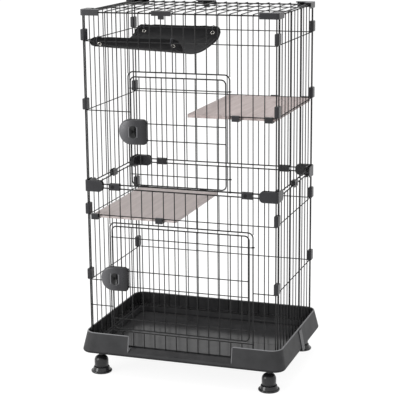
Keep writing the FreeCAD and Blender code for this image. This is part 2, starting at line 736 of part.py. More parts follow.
wall_x = side_plane + s.frame_wire / 2 + s.fit_gap + s.joint_wall
wall_y = front_plane + s.frame_wire / 2 + s.fit_gap + s.joint_wall
inner_x = side_plane - frame_rail_depth - s.frame_wire / 2 - s.fit_gap
inner_y = front_plane - frame_rail_depth - s.frame_wire / 2 - s.fit_gap
tier_middle = lower_top + s.tier_gap / 2
roof_flange_level = roof_bar_level + s.frame_wire + s.fit_gap
roof_joint_top = roof_flange_level + s.joint_wall
for corner in CORNERS:
    joint = new_body(f"tier_joint_{corner}")
    plate_bottom = tier_middle - s.tier_joint_height / 2
    corner_strip(
        joint, corner, wall_x, wall_y, s.joint_wall, s.joint_leg, s.joint_round,
        plate_bottom, s.tier_joint_height,
    )
    web_width = wall_y - inner_y + s.joint_wall
    corner_strip(
        joint, corner, wall_x, wall_y, web_width, s.joint_leg, s.joint_round,
        tier_middle - s.tier_web / 2, s.tier_web,
    )
    inner_leg = s.joint_leg - (wall_x - inner_x)
    corner_strip(
        joint, corner, inner_x, inner_y, s.joint_wall, inner_leg, None,
        plate_bottom, s.tier_joint_height,
    )
    end_x, end_y = (wall_x - s.joint_leg).value, (wall_y - s.joint_leg).value
    half_height = s.tier_joint_height.value / 2
    soften(joint, s.leg_round, lambda spot: (
        abs(abs(spot.z - tier_middle.value) - half_height) < TOUCH
        and (abs(abs(spot.x) - end_x) < TOUCH or abs(abs(spot.y) - end_y) < TOUCH)
    ))
    single(f"tier_joint_{corner}", joint)
for corner in CORNERS:
    joint = new_body(f"roof_joint_{corner}")
    corner_strip(
        joint, corner, wall_x, wall_y, s.joint_wall, s.joint_leg, s.joint_round,
        roof_joint_top - s.roof_joint_height, s.roof_joint_height,
    )
    corner_strip(
        joint, corner, wall_x, wall_y, s.roof_flange, s.joint_leg, s.joint_round,
        roof_flange_level, s.joint_wall,
    )
    single(f"roof_joint_{corner}", joint)


def clip_sketch(body, face, along):
    """Sketch across a face's rails, with its plane at the given place along the face."""
    if FACES[face][0] == "x":
        return new_sketch(body, "YZ_Plane", along)
    return new_sketch(body, "XZ_Plane", -as_size(along))


def face_sketch(body, face, out):
    """Sketch in a plane along a face, at the given reach from the middle."""
    axis, sign = FACES[face]
    if axis == "x":
        return new_sketch(body, "XZ_Plane", -out * sign)
    return new_sketch(body, "YZ_Plane", out * sign)


def tier_clip(face, along):
    sign = FACES[face][1]
    outer = plane_of(face) - s.frame_wire / 2 + s.grid_wire + s.fit_gap
    inner = plane_of(face) - frame_rail_depth - s.frame_wire / 2 - s.fit_gap
    wall = s.joint_wall
    half, web = s.tier_clip_height / 2, s.tier_web / 2
    spots = [
        (outer + wall, -half), (outer + wall, half), (outer, half), (outer, web),
        (inner, web), (inner, half), (inner - wall, half), (inner - wall, -half),
        (inner, -half), (inner, -web), (outer, -web), (outer, -half),
    ]
    body = new_body("TierClip")
    section = clip_sketch(body, face, along)
    trace(section, [(out * sign, tier_middle + level) for out, level in spots])
    pad(body, section, s.tier_clip_length, both=True)
    dimple = face_sketch(body, face, outer + wall)
    circle(dimple, (as_size(along) - s.dimple_shift, tier_middle), s.dimple_radius)
    pocket(body, dimple, s.dimple_depth, back=face in ("back", "left"))
    return body


def roof_clip(face):
    sign = FACES[face][1]
    inner = plane_of(face) - s.frame_wire / 2 + s.grid_wire + s.fit_gap
    outer = inner + s.joint_wall
    foot = roof_joint_top - s.roof_joint_height + s.joint_wall
    body = new_body("RoofClip")
    section = clip_sketch(body, face, s.roof_clip_place)
    rise = s.frame_wire - s.grid_wire
    flange = roof_flange_level - rise
    spots = [
        (outer, foot), (outer, roof_joint_top - rise), (outer - s.roof_flange, roof_joint_top - rise),
        (outer - s.roof_flange, flange), (inner, flange), (inner, foot),
    ]
    trace(section, [(out * sign, level) for out, level in spots])
    pad(body, section, s.roof_clip_length, both=True)
    hook = clip_sketch(body, face, s.roof_clip_place)
    low, high = (inner * sign, foot - s.roof_hook_drop), (outer * sign, foot + s.joint_wall)
    trace(hook, [low, (high[0], low[1]), high, (low[0], high[1])])
    pad(body, hook, s.roof_hook_width, both=True)
    return body


def edge_clip(corner, bottom):
    sx, sy = CORNERS[corner]
    middle = (half_width + side_plane) / 2
    body = new_body("EdgeClip")
    plan = new_sketch(body, "XY_Plane", bottom)
    low = ((middle - s.clip_width / 2) * sx, (half_depth - s.clip_margin) * sy)
    high = ((middle + s.clip_width / 2) * sx, (front_plane + s.clip_margin) * sy)
    rectangle(plan, low, high, s.clip_width * 0.3)
    circle(plan, (half_width * sx, front_plane * sy), s.frame_wire / 2 + s.fit_gap / 2)
    circle(plan, (side_plane * sx, half_depth * sy), s.frame_wire / 2 + s.fit_gap / 2)
    pad(body, plan, s.clip_height)
    bores = [(half_width.value, front_plane.value), (side_plane.value, half_depth.value)]
    levels = (bottom.value, bottom.value + s.clip_height.value)
    soften(body, s.clip_round, lambda spot: (
        min(abs(spot.z - level) for level in levels) < TOUCH
        and min(math.hypot(abs(spot.x) - x, abs(spot.y) - y) for x, y in bores) > s.frame_wire.value
    ))
    return body


for corner in CORNERS:
    clips = []
    for top in (upper_top, lower_top):
        for drop in (s.high_rail, s.mid_rail):
            clips.append(edge_clip(corner, top - drop + s.clip_above_rail))
    node(f"edge_clips_{corner}", clips)
node("tier_clips", [
    tier_clip("front", -s.tier_clip_place), tier_clip("front", s.tier_clip_place),
    tier_clip("back", -s.tier_clip_place), tier_clip("back", s.tier_clip_place),
    tier_clip("left", 0), tier_clip("right", 0),
])
node("roof_clips", [roof_clip("front"), roof_clip("back")])

# Shelves and their holders
shelf_half = front_plane - rail_depth - s.grid_wire / 2 - s.shelf_gap
shelf_reach = side_plane - rail_depth - s.grid_wire / 2 - s.shelf_gap
upper_shelf_top = upper_top - s.mid_rail
lower_shelf_top = lower_top - s.high_rail


def shelf(label, left, top):
    body = new_body(label)
    plan = new_sketch(body, "XY_Plane", top - s.shelf_thickness)
    rectangle(plan, (left, -shelf_half), (left + s.shelf_width, shelf_half), s.shelf_corner)
    pad(body, plan, s.shelf_thickness)
    single(label, body)


def shelf_holder(face, along, level):
    """Hooks over the rail and reaches under the shelf."""
    sign = FACES[face][1]
    rail_out = plane_of(face) - rail_depth
    clear = s.grid_wire / 2 + s.fit_gap
    inner = s.grid_wire / 2
    under = s.shelf_thickness + s.fit_gap
    spots = [
        (s.holder_front, -under - s.holder_lip), (s.holder_front, clear + s.holder_cap),
        (-inner, clear + s.holder_cap), (-inner, clear), (clear, clear), (clear, -under),
        (-s.holder_under, -under), (-s.holder_under, -under - s.holder_lip),
    ]
    body = new_body("ShelfHolder")
    section = clip_sketch(body, face, along)
    trace(section, [((rail_out + out) * sign, level + rise) for out, rise in spots])
    pad(body, section, s.holder_width, both=True)
    return body


shelf("upper_shelf", shelf_reach - s.shelf_width, upper_shelf_top)
shelf("lower_shelf", -shelf_reach + s.lower_shelf_gap, lower_shelf_top)
node("upper_shelf_holders", [
    shelf_holder(face, along, upper_shelf_top)
    for face in ("front", "back") for along in (s.upper_holder, s.holder_edge)
])
node("lower_shelf_holders", [
    shelf_holder(face, along, lower_shelf_top)
    for face in ("front", "back") for along in (-s.holder_edge, -s.lower_holder)
])

# Hammock, sagging between the front and back rails in a gentle middle and two steep ends
hammock_rail = upper_top - s.high_rail
hammock_half = front_plane - rail_depth - s.hammock_gap
middle_sine = s.hammock_flat / s.hammock_bend
middle_cosine = root(1 - middle_sine * middle_sine)
middle_rise = s.hammock_bend * (1 - middle_cosine)
end_run, end_rise = hammock_half - s.hammock_flat, s.hammock_sag - middle_rise
end_bend = (end_run * end_run + end_rise * end_rise) / (
    (end_rise * middle_cosine - end_run * middle_sine) * 2
)
end_y = s.hammock_flat - end_bend * middle_sine
eyelet_y = hammock_half - s.eyelet_inset
eyelet_sine = (eyelet_y - end_y) / end_bend
eyelet_cosine = root(1 - eyelet_sine * eyelet_sine)
eyelet_level = hammock_rail - s.eyelet_below
hammock_low = eyelet_level + s.hammock_cloth / 2 - middle_rise - end_bend * (middle_cosine - eyelet_cosine)
hammock_edge = hammock_low + s.hammock_sag
hammock_right = s.hammock_width - s.hammock_left
end_level = hammock_low.value + middle_rise.value + end_bend.value * middle_cosine.value
cloth = new_body("HammockCloth")
band = new_sketch(cloth, "YZ_Plane", -s.hammock_left)
joint_level = hammock_low + middle_rise
thin = s.hammock_cloth
trace(
    band,
    [
        (-hammock_half, hammock_edge), (-s.hammock_flat, joint_level),
        (s.hammock_flat, joint_level), (hammock_half, hammock_edge),
        (hammock_half, hammock_edge - thin), (s.hammock_flat, joint_level - thin),
        (-s.hammock_flat, joint_level - thin), (-hammock_half, hammock_edge - thin),
    ],
    {
        0: ((-end_y.value, end_level), end_bend, True),
        1: ((0, (hammock_low + s.hammock_bend).value), s.hammock_bend, True),
        2: ((end_y.value, end_level), end_bend, True),
        4: ((end_y.value, end_level - thin.value), end_bend, False),
        5: ((0, (hammock_low + s.hammock_bend - thin).value), s.hammock_bend, False),
        6: ((-end_y.value, end_level - thin.value), end_bend, False),
    },
)
pad(cloth, band, s.hammock_width)
waist_radius = (hammock_half * hammock_half / s.hammock_waist + s.hammock_waist) / 2
for side, edge_x in ((-1, -s.hammock_left), (1, hammock_right)):
    waist = new_sketch(cloth, "XY_Plane", hammock_edge + s.cut_margin)
    waist_middle = (edge_x.value + side * (waist_radius.value - s.hammock_waist.value), 0)
    trace(
        waist,
        [
            (edge_x, -hammock_half), (edge_x + s.cut_margin * side, -hammock_half),
            (edge_x + s.cut_margin * side, hammock_half), (edge_x, hammock_half),
        ],
        {3: (waist_middle, waist_radius, side > 0)},
    )
    pocket(cloth, waist, s.hammock_sag + s.hammock_cloth + s.cut_margin * 2)
    for end in (-1, 1):
        corner_cut = new_sketch(cloth, "XY_Plane", hammock_edge + s.cut_margin)
        far_edge, far_end = edge_x + s.cut_margin * side, (hammock_half + s.cut_margin) * end
        near_edge, near_end = edge_x - s.hammock_round * side, (hammock_half - s.hammock_round) * end
        trace(
            corner_cut,
            [
                (far_edge, far_end), (near_edge, far_end), (near_edge, hammock_half * end),
                (edge_x, near_end), (far_edge, near_end),
            ],
            {2: ((near_edge.value, near_end.value), s.hammock_round, side * end < 0)},
        )
        pocket(cloth, corner_cut, s.hammock_sag + s.hammock_cloth + s.cut_margin * 2)


def eyelet_part(kind, x, side, radius, height):
    """A cylinder standing square to the cloth at an eyelet."""
    pin_piece = doc.addObject("Part::Cylinder", kind)
    tie(pin_piece, "Radius", radius)
    tie(pin_piece, "Height", height)
    lean = Size(math.degrees(math.asin(eyelet_sine.value)), f"asin({eyelet_sine.text})")
    reach = height / 2
    pin_piece.Placement.Rotation = FreeCAD.Rotation(V(side, 0, 0), lean.value)
    pin_piece.setExpression("Placement.Rotation.Angle", lean.text)
    place(pin_piece, (x, (eyelet_y + reach * eyelet_sine) * side, eyelet_level - reach * eyelet_cosine))
    return pin_piece


holes = []
eyelets = []
rings = []
ring_y = eyelet_y + s.ring_pull * eyelet_cosine
ring_drop = s.eyelet_below - s.ring_pull * eyelet_sine
ring_run = front_plane - rail_depth - ring_y
ring_span = root(ring_run * ring_run + ring_drop * ring_drop)
ring_inside = s.ring_radius - s.ring_wire - s.grid_wire / 2 - s.fit_gap
ring_along = (
    (s.ring_radius * s.ring_radius - ring_inside * ring_inside + ring_span * ring_span) / (ring_span * 2)
)
ring_aside = root(s.ring_radius * s.ring_radius - ring_along * ring_along)
ring_middle = ring_y + (ring_along * ring_run - ring_aside * ring_drop) / ring_span
ring_level = hammock_rail - ring_drop + (ring_along * ring_drop + ring_aside * ring_run) / ring_span
for x in (s.eyelet_left - s.hammock_left, hammock_right - s.eyelet_right):
    for side in (-1, 1):
        holes.append(eyelet_part("Hole", x, side, s.eyelet_radius + s.eyelet_gap, s.eyelet_height * 4))
        eyelet = doc.addObject("Part::Cut", "Eyelet")
        eyelet.Base = eyelet_part("EyeletRim", x, side, s.eyelet_radius, s.eyelet_height)
        eyelet.Tool = eyelet_part("EyeletBore", x, side, s.eyelet_bore, s.eyelet_height * 2)
        eyelets.append(eyelet)
        ring = doc.addObject("Part::Torus", "SplitRing")
        ring.Placement.Rotation = TURNED["x"]
        tie(ring, "Radius1", s.ring_radius)
        tie(ring, "Radius2", s.ring_wire)
        place(ring, (x, ring_middle * side, ring_level))
        rings.append(ring)
hole_group = doc.addObject("Part::Compound", "Holes")
hole_group.Links = holes
hammock = doc.addObject("Part::Cut", "hammock")
hammock.Base = cloth
hammock.Tool = hole_group
single("hammock", hammock)
node("hammock_eyelets", eyelets)
node("hammock_rings", rings)

# Tray with its doorway and bosses, in two halves
tray = new_body("TrayShell")


def tray_outline(level, reach, corner):
    sketch = new_sketch(tray, "XY_Plane", level)
    x, y = half_width + reach, front_plane + reach
    rectangle(sketch, (-x, -y), (x, y), corner)
    return sketch


ledge_share = s.tray_ledge / s.tray_height
ledge_reach = s.tray_reach_low + (s.tray_reach_top - s.tray_reach_low) * ledge_share
inner_corner = s.tray_corner - s.tray_wall
loft(
    tray, "Additive",
    tray_outline(tray_bottom, s.tray_reach_low, s.tray_corner),
    tray_outline(tray_rim, s.tray_reach_top, s.tray_corner),
)
loft(
    tray, "Subtractive",
    tray_outline(ledge_top, ledge_reach - s.tray_wall, inner_corner),
    tray_outline(tray_rim, s.tray_reach_top - s.tray_wall, inner_corner),
)
pocket(tray, tray_outline(ledge_top, -s.basin_inset, s.basin_corner), s.tray_ledge - s.tray_floor)
doorway = new_sketch(tray, "YZ_Plane")
sill_y = front_plane + s.sill_start
trace(doorway, [
    (-sill_y, ledge_top), (-sill_y, tray_rim + s.cut_margin),
    (-sill_y - s.sill_run, tray_rim + s.cut_margin), (-sill_y - s.sill_run, ledge_top - s.sill_drop),
])
pocket(tray, doorway, s.doorway_width, both=True)
doorway_half = s.doorway_width / 2
soften(tray, s.doorway_round, lambda spot: (
    abs(abs(spot.x) - doorway_half.value) < TOUCH and abs(spot.z - tray_rim.value) < TOUCH
))
soften(tray, s.rim_round, lambda spot: abs(spot.z - tray_rim.value) < TOUCH)
soften(tray, s.tray_foot, lambda spot: abs(spot.z - tray_bottom.value) < TOUCH)
bosses = new_sketch(tray, "XY_Plane", tray_bottom)
stem_bores = new_sketch(tray, "XY_Plane", tray_bottom - s.boss_height)
for sx, sy in CORNERS.values():
    circle(bosses, (s.caster_x * sx, s.caster_y * sy), s.boss_radius)
    circle(stem_bores, (s.caster_x * sx, s.caster_y * sy), s.stem_radius + s.stem_fit)
pad(tray, bosses, s.boss_height, back=True)
pocket(tray, stem_bores, s.boss_bore, back=True)
far_x = half_width + s.tray_reach_low * 2
far_y = front_plane + s.tray_reach_low * 2
for name, low_y, high_y in (("front", -far_y, -s.seam_gap / 2), ("rear", s.seam_gap / 2, far_y)):
    half = doc.addObject("Part::Common", f"tray_{name}")
    half.Base = tray
    half.Tool = block((-far_x, low_y, 0), (far_x, high_y, tray_rim + s.cut_margin))
    single(f"tray_{name}", half)

# Straps over the tray seam
straps = []
for side in (-1, 1):
    strap = new_body("TrayStrap")
    section = new_sketch(strap, "XZ_Plane")
    low_x, high_x = half_width + s.tray_reach_low + s.fit_gap, half_width + s.tray_reach_top + s.fit_gap
    slope = (high_x - low_x) / s.tray_height
    top_x = high_x - slope * s.strap_short
    spots = [
        (low_x - s.strap_hook, tray_bottom - s.fit_gap),
        (low_x, tray_bottom - s.fit_gap),
        (top_x, tray_rim - s.strap_short),
        (top_x + s.strap_thickness, tray_rim - s.strap_short),
        (low_x + s.strap_thickness, tray_bottom - s.fit_gap - s.strap_thickness),
        (low_x - s.strap_hook, tray_bottom - s.fit_gap - s.strap_thickness),
    ]
    trace(section, [(x * side, z) for x, z in spots])
    pad(strap, section, s.strap_width, both=True)
    straps.append(strap)
node("tray_straps", straps)

# Casters in their cups
axle_level = s.cup_base + s.wheel_gap + s.wheel_radius
hood_bottom = s.cup_height + s.hood_rise
hollow_top = axle_level + s.wheel_radius + s.wheel_gap * 2


def round_body(label, spots, radii=None):
    """A body turned about the upright axis."""
    body = new_body(label)
    section = new_sketch(body, "XZ_Plane")
    trace(section, *rounded(spots, radii or [None] * len(spots)))
    revolve(body, section)
    return body


def caster_hood(label):
    body = round_body(
        label,
        [(0, hood_bottom), (s.hood_radius, hood_bottom), (s.hood_radius, s.hood_top), (0, s.hood_top)],
        [None, None, s.hood_round, None],
    )
    hollow = new_sketch(body, "XY_Plane", hood_bottom)
    circle(hollow, (0, 0), s.hood_radius - s.hood_wall)
    pocket(body, hollow, hollow_top - hood_bottom, back=True)
    web_half = s.hood_radius - s.hood_wall
    web = new_sketch(body, "YZ_Plane")
    low = axle_level - s.web_drop
    rectangle(web, (-web_half, low), (web_half, hollow_top), [s.web_drop, s.web_drop, None, None])
    circle(web, (0, axle_level), s.axle_radius + s.axle_fit)
    pad(body, web, s.web_thickness, both=True)
    bore = new_sketch(body, "XY_Plane", s.hood_top)
    circle(bore, (0, 0), s.stem_radius + s.stem_fit)
    pocket(body, bore, s.stem_seat + s.fit_gap)
    for side in (-1, 1):
        arch = new_sketch(body, "YZ_Plane", s.arch_depth * side)
        circle(arch, (0, axle_level), s.arch_radius)
        pocket(body, arch, s.hood_radius, back=side > 0)
    return body


def wheel(side):
    """One wheel of a caster, turned about the axle."""
    body = new_body("Wheel")
    section = new_sketch(body, "XZ_Plane")
    tie(section, "AttachmentOffset.Base.y", axle_level)
    near = s.web_thickness / 2 + s.wheel_gap
    far = near + s.wheel_width
    hub = s.axle_radius + s.wheel_fit
    spots = [
        (near, hub), (far, hub), (far, s.wheel_radius - s.wheel_edge),
        (far - s.wheel_edge, s.wheel_radius), (near, s.wheel_radius),
    ]
    trace(section, [(x * side, radius) for x, radius in spots])
    revolve(body, section, "H_Axis")
    return body


def set_down(thing, corner):
    sx, sy = CORNERS[corner]
    thing.Placement.Rotation = FreeCAD.Rotation(V(0, 0, 1), 1)
    tie(thing, "Placement.Rotation.Angle", getattr(s, f"turn_{corner}"))
    place(thing, (s.caster_x * sx, s.caster_y * sy, 0))


cups = []
stems = []
for corner in CORNERS:
    cup = round_body(
        "Cup",
        [
            (0, 0), (s.cup_radius, 0), (s.cup_radius, s.cup_brim), (s.cup_shoulder, s.cup_brim),
            (s.cup_top, s.cup_height), (s.cup_bore, s.cup_height), (s.cup_bore, s.cup_base), (0, s.cup_base),
        ],
        [None, s.cup_round, s.cup_round, None, None, None, None, None],
    )
    set_down(cup, corner)
    cups.append(cup)
    collar_low = s.hood_top + s.fit_gap
    stem = round_body("Stem", [
        (0, s.hood_top - s.stem_seat), (s.stem_radius, s.hood_top - s.stem_seat),
        (s.stem_radius, collar_low), (s.collar_radius, collar_low),
        (s.collar_radius, collar_low + s.collar_height), (s.stem_radius, collar_low + s.collar_height),
        (s.stem_radius, tray_bottom - s.boss_height + s.boss_bore - s.fit_gap),
        (0, tray_bottom - s.boss_height + s.boss_bore - s.fit_gap),
    ])
    set_down(stem, corner)
    stems.append(stem)
    hood = caster_hood(f"caster_hood_{corner}")
    set_down(hood, corner)
    single(f"caster_hood_{corner}", hood)
    axle_half = s.web_thickness / 2 + s.wheel_gap * 2 + s.wheel_width
    axle = new_body(f"caster_axle_{corner}")
    end = new_sketch(axle, "YZ_Plane")
    circle(end, (0, axle_level), s.axle_radius)
    pad(axle, end, axle_half * 2, both=True)
    set_down(axle, corner)
    single(f"caster_axle_{corner}", axle)
    pair = []
    for side in (-1, 1):
        disc = wheel(side)
        set_down(disc, corner)
        pair.append(disc)
    node(f"caster_wheels_{corner}", pair)
node("caster_cups", cups)
node("caster_stems", stems)

# Checks and export
doc.recompute()
for thing in doc.Objects:
    if "Invalid" in thing.State or "Error" in thing.State:
        raise RuntimeError(f"{thing.Label} did not build: {thing.State}")
for thing in nodes:
    if thing.Shape.isNull() or not thing.Shape.isValid() or not thing.Shape.Solids:
        raise RuntimeError(f"{thing.Label} has no sound solid")
for thing in nodes:
    thing.Shape.exportStep(f"parts/{thing.Label}.step")
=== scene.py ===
"""Looks of a two-tier wire cat cage on casters: tray, wires, clips, locks, shelves and a hanging hammock."""
import math

import bmesh
import bpy
import numpy as np
from mathutils import Matrix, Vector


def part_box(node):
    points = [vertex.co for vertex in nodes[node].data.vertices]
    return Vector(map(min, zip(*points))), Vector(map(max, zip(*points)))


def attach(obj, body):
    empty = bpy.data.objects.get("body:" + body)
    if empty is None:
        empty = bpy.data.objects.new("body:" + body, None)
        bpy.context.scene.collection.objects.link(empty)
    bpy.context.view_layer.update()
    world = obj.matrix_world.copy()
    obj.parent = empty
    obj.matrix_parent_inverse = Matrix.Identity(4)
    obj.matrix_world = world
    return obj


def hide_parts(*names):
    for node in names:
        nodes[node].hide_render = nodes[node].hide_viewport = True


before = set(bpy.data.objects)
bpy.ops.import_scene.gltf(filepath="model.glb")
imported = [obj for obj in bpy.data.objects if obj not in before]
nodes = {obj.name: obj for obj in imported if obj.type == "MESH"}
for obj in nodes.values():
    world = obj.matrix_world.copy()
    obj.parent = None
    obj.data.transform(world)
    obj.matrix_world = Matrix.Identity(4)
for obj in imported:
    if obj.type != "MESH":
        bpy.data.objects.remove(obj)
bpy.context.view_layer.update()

# Tray halves and the straps over their seam.
# Injection-moulded polypropylene, dyed dark grey. The tool's walls are etched, so the sides are satin;
# its floor is polished and mirrors the walls. The rim carries a painted highlight, and the foot painted
# shade.
MM = 0.001


def linear(code):
    """Linear colour of an sRGB hex code, by the sRGB curve."""
    parts = np.array([int(code[i:i + 2], 16) for i in (1, 3, 5)]) / 255
    low, high = parts / 12.92, ((parts + 0.055) / 1.055) ** 2.4
    return (*np.where(parts <= 0.04045, low, high).tolist(), 1.0)


def add(material, kind, inputs=None, **settings):
    """Adds one node: settings go on the node, inputs are constants or the sockets that feed it."""
    tree = material.node_tree
    node = tree.nodes.new(kind)
    for name, value in settings.items():
        setattr(node, name, value)
    for name, value in (inputs or {}).items():
        if isinstance(value, bpy.types.NodeSocket):
            tree.links.new(value, node.inputs[name])
        else:
            node.inputs[name].default_value = value
    return node


def new_material(name):
    """A node material and its surface shader."""
    material = bpy.data.materials.new(name)
    material.use_nodes = True
    return material, material.node_tree.nodes["Principled BSDF"]


def feed(material, shader, **sockets):
    """Links sockets to the shader's inputs; underscores stand for spaces."""
    for name, socket in sockets.items():
        material.node_tree.links.new(socket, shader.inputs[name.replace("_", " ")])


def dress(material, *names):
    """Gives nodes of the frame this material alone."""
    for name in names:
        nodes[name].data.materials.clear()
        nodes[name].data.materials.append(material)


def moulded_plastic(name, dark, light, edge_highlight, grain, relief, edge, highlight_reach, gloss, shine):
    """Plastic from an etched tool: grain in mm, soft clouds of two shades, edges rounded by a radius in mm
    and painted paler within a reach in mm, a painted highlight where the normal averaged over that reach
    leaves the face's own."""
    material, shader = new_material(name)
    cloud_size, etch_height = 45 * MM, 0.15 * MM
    noise_span, edge_span = {"From Min": 0.3, "From Max": 0.7}, {"From Min": 0.97, "From Max": 0.8}
    place = add(material, "ShaderNodeTexCoord").outputs["Object"]
    etch = add(material, "ShaderNodeTexNoise", {"Vector": place, "Scale": 1 / (grain * MM), "Detail": 3.0})
    cloud = add(material, "ShaderNodeTexNoise", {"Vector": place, "Scale": 1 / cloud_size, "Detail": 4.0})
    shade = add(material, "ShaderNodeMapRange", {"Value": cloud.outputs["Fac"], **noise_span})
    colour = add(
        material, "ShaderNodeMix",
        {"Factor": shade.outputs["Result"], "A": linear(dark), "B": linear(light)}, data_type="RGBA",
    )
    satin = add(material, "ShaderNodeMapRange", {
        "Value": etch.outputs["Fac"], **noise_span, "To Min": gloss - 0.05, "To Max": gloss + 0.06,
    })
    round_edge = add(material, "ShaderNodeBevel", {"Radius": edge * MM}, samples=6)
    broad_edge = add(material, "ShaderNodeBevel", {"Radius": highlight_reach * MM}, samples=6)
    flat = add(material, "ShaderNodeNewGeometry").outputs["True Normal"]
    turn = add(
        material, "ShaderNodeVectorMath", {0: broad_edge.outputs["Normal"], 1: flat}, operation="DOT_PRODUCT",
    )
    # Edges within the reach get a painted highlight: their colour is mixed toward a paler one.
    edge_light = add(material, "ShaderNodeMapRange", {"Value": turn.outputs["Value"], **edge_span})
    painted_highlight = add(
        material, "ShaderNodeMix",
        {"Factor": edge_light.outputs["Result"], "A": colour.outputs["Result"], "B": linear(edge_highlight)}, data_type="RGBA",
    )
    bump = add(material, "ShaderNodeBump", {
        "Height": etch.outputs["Fac"], "Strength": relief, "Distance": etch_height,
        "Normal": round_edge.outputs["Normal"],
    })
    shader.inputs["Specular IOR Level"].default_value = shine
    feed(
        material, shader, Base_Color=painted_highlight.outputs["Result"], Roughness=satin.outputs["Result"],
        Normal=bump.outputs["Normal"],
    )
    return material


def painted(material):
    """The surface shader of a material and the socket that feeds its colour."""
    shader = material.node_tree.nodes["Principled BSDF"]
    return shader, shader.inputs["Base Color"].links[0].from_socket


# The etched grain is about 0.3 mm; drawn at 1.4 mm so that it shows in the render.
tray_plastic = moulded_plastic(
    "etched_polypropylene", dark="#363637", light="#404041", edge_highlight="#454546",
    grain=1.4, relief=0.12, edge=1.6, highlight_reach=1.6, gloss=0.46, shine=0.09,
)
tray_shader, tray_colour = painted(tray_plastic)
etched_gloss = tray_shader.inputs["Roughness"].links[0].from_socket
# A painted highlight runs along the rim's top and down the doorway's ends, above the sill and ahead of the
# wires.
RIM_BAND, DOORWAY_HALF, DOORWAY_BAND, BAND_SLACK = 2.6 * MM, 166 * MM, 2.2 * MM, 0.1 * MM
SILL_LOW, SILL_HIGH, WIRES_FRONT = 85 * MM, 92 * MM, -212 * MM
tray_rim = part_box("tray_front")[1][2]
tray_place = add(tray_plastic, "ShaderNodeSeparateXYZ", {
    "Vector": add(tray_plastic, "ShaderNodeTexCoord").outputs["Object"],
})
rim_highlight = add(tray_plastic, "ShaderNodeMapRange", {
    "Value": tray_place.outputs["Z"], "From Min": tray_rim - RIM_BAND, "From Max": tray_rim - RIM_BAND / 2,
})
from_middle = add(tray_plastic, "ShaderNodeMath", {0: tray_place.outputs["X"]}, operation="ABSOLUTE")
at_end = add(tray_plastic, "ShaderNodeMath", {
    0: from_middle.outputs["Value"], 1: DOORWAY_HALF + DOORWAY_BAND / 2, 2: DOORWAY_BAND / 2 + BAND_SLACK,
}, operation="COMPARE")
ahead_of_wires = add(
    tray_plastic, "ShaderNodeMath", {0: tray_place.outputs["Y"], 1: WIRES_FRONT}, operation="LESS_THAN",
)
doorway_end_highlight = add(
    tray_plastic, "ShaderNodeMath", {0: at_end.outputs["Value"], 1: ahead_of_wires.outputs["Value"]},
    operation="MULTIPLY",
)
above_sill = add(tray_plastic, "ShaderNodeMapRange", {
    "Value": tray_place.outputs["Z"], "From Min": SILL_LOW, "From Max": SILL_HIGH,
})
doorway_highlight = add(
    tray_plastic, "ShaderNodeMath", {0: doorway_end_highlight.outputs["Value"], 1: above_sill.outputs["Result"]},
    operation="MULTIPLY",
)
tray_highlight = add(
    tray_plastic, "ShaderNodeMath", {0: rim_highlight.outputs["Result"], 1: doorway_highlight.outputs["Value"]},
    operation="MAXIMUM",
)
rim_colour = add(
    tray_plastic, "ShaderNodeMix",
    {"Factor": tray_highlight.outputs["Value"], "A": tray_colour, "B": linear("#7e7e80")}, data_type="RGBA",
)
facing = add(tray_plastic, "ShaderNodeSeparateXYZ", {
    "Vector": add(tray_plastic, "ShaderNodeNewGeometry").outputs["True Normal"],
})
level = add(tray_plastic, "ShaderNodeMapRange", {
    "Value": facing.outputs["Z"], "From Min": 0.85, "From Max": 0.97,
})
# The foot's rounding is darkened by painted shade, outside and below but not on the tray's own floor.
TRAY_FOOT, FOOT_BAND, FOOT_SHADE_STRENGTH = 71 * MM, 10 * MM, 0.85
foot_shade = add(tray_plastic, "ShaderNodeMapRange", {
    "Value": tray_place.outputs["Z"], "To Min": FOOT_SHADE_STRENGTH, "To Max": 0.0,
    "From Min": TRAY_FOOT + FOOT_BAND / 3, "From Max": TRAY_FOOT + FOOT_BAND,
})
off_floor = add(tray_plastic, "ShaderNodeMath", {0: 1.0, 1: level.outputs["Result"]}, operation="SUBTRACT")
outer_foot_shade = add(
    tray_plastic, "ShaderNodeMath", {0: foot_shade.outputs["Result"], 1: off_floor.outputs["Value"]},
    operation="MULTIPLY",
)
foot_shaded = add(
    tray_plastic, "ShaderNodeMix",
    {"Factor": outer_foot_shade.outputs["Value"], "A": rim_colour.outputs["Result"], "B": linear("#151516")},
    data_type="RGBA",
)
POLISHED_FLOOR = 0.15
tray_gloss = add(tray_plastic, "ShaderNodeMix", {
    "Factor": level.outputs["Result"], "A": etched_gloss, "B": POLISHED_FLOOR,
})
feed(tray_plastic, tray_shader, Base_Color=foot_shaded.outputs["Result"], Roughness=tray_gloss.outputs["Result"])
dress(tray_plastic, "tray_front", "tray_rear")
strap_plastic = moulded_plastic(
    "strap_polypropylene", dark="#29292b", light="#303033", edge_highlight="#4c4c4e",
    grain=1.2, relief=0.2, edge=1.0, highlight_reach=2.0, gloss=0.34, shine=0.3,
)
dress(strap_plastic, "tray_straps")

# Casters in their cups.
# Twin-wheel furniture casters: glass-filled nylon hoods and wheels on a zinc-plated steel axle, with a stem
# pressed into the tray, each standing in a loose moulded cup.
CORNERS = ("front_left", "front_right", "back_left", "back_right")
caster_plastic = moulded_plastic(
    "caster_nylon", dark="#1d1d1e", light="#272729", edge_highlight="#454547",
    grain=0.9, relief=0.2, edge=1.0, highlight_reach=2.0, gloss=0.26, shine=0.4,
)
dress(caster_plastic, "caster_stems")
HOOD_RADIUS, HOOD_WALL, HOOD_BOTTOM, HOOD_TOP = 22 * MM, 1.6 * MM, 18.3 * MM, 55 * MM
HOOD_ROUND, HOOD_LIP = 17 * MM, 0.25 * MM
HOOD_STEPS, DOME_STEPS = 96, 16


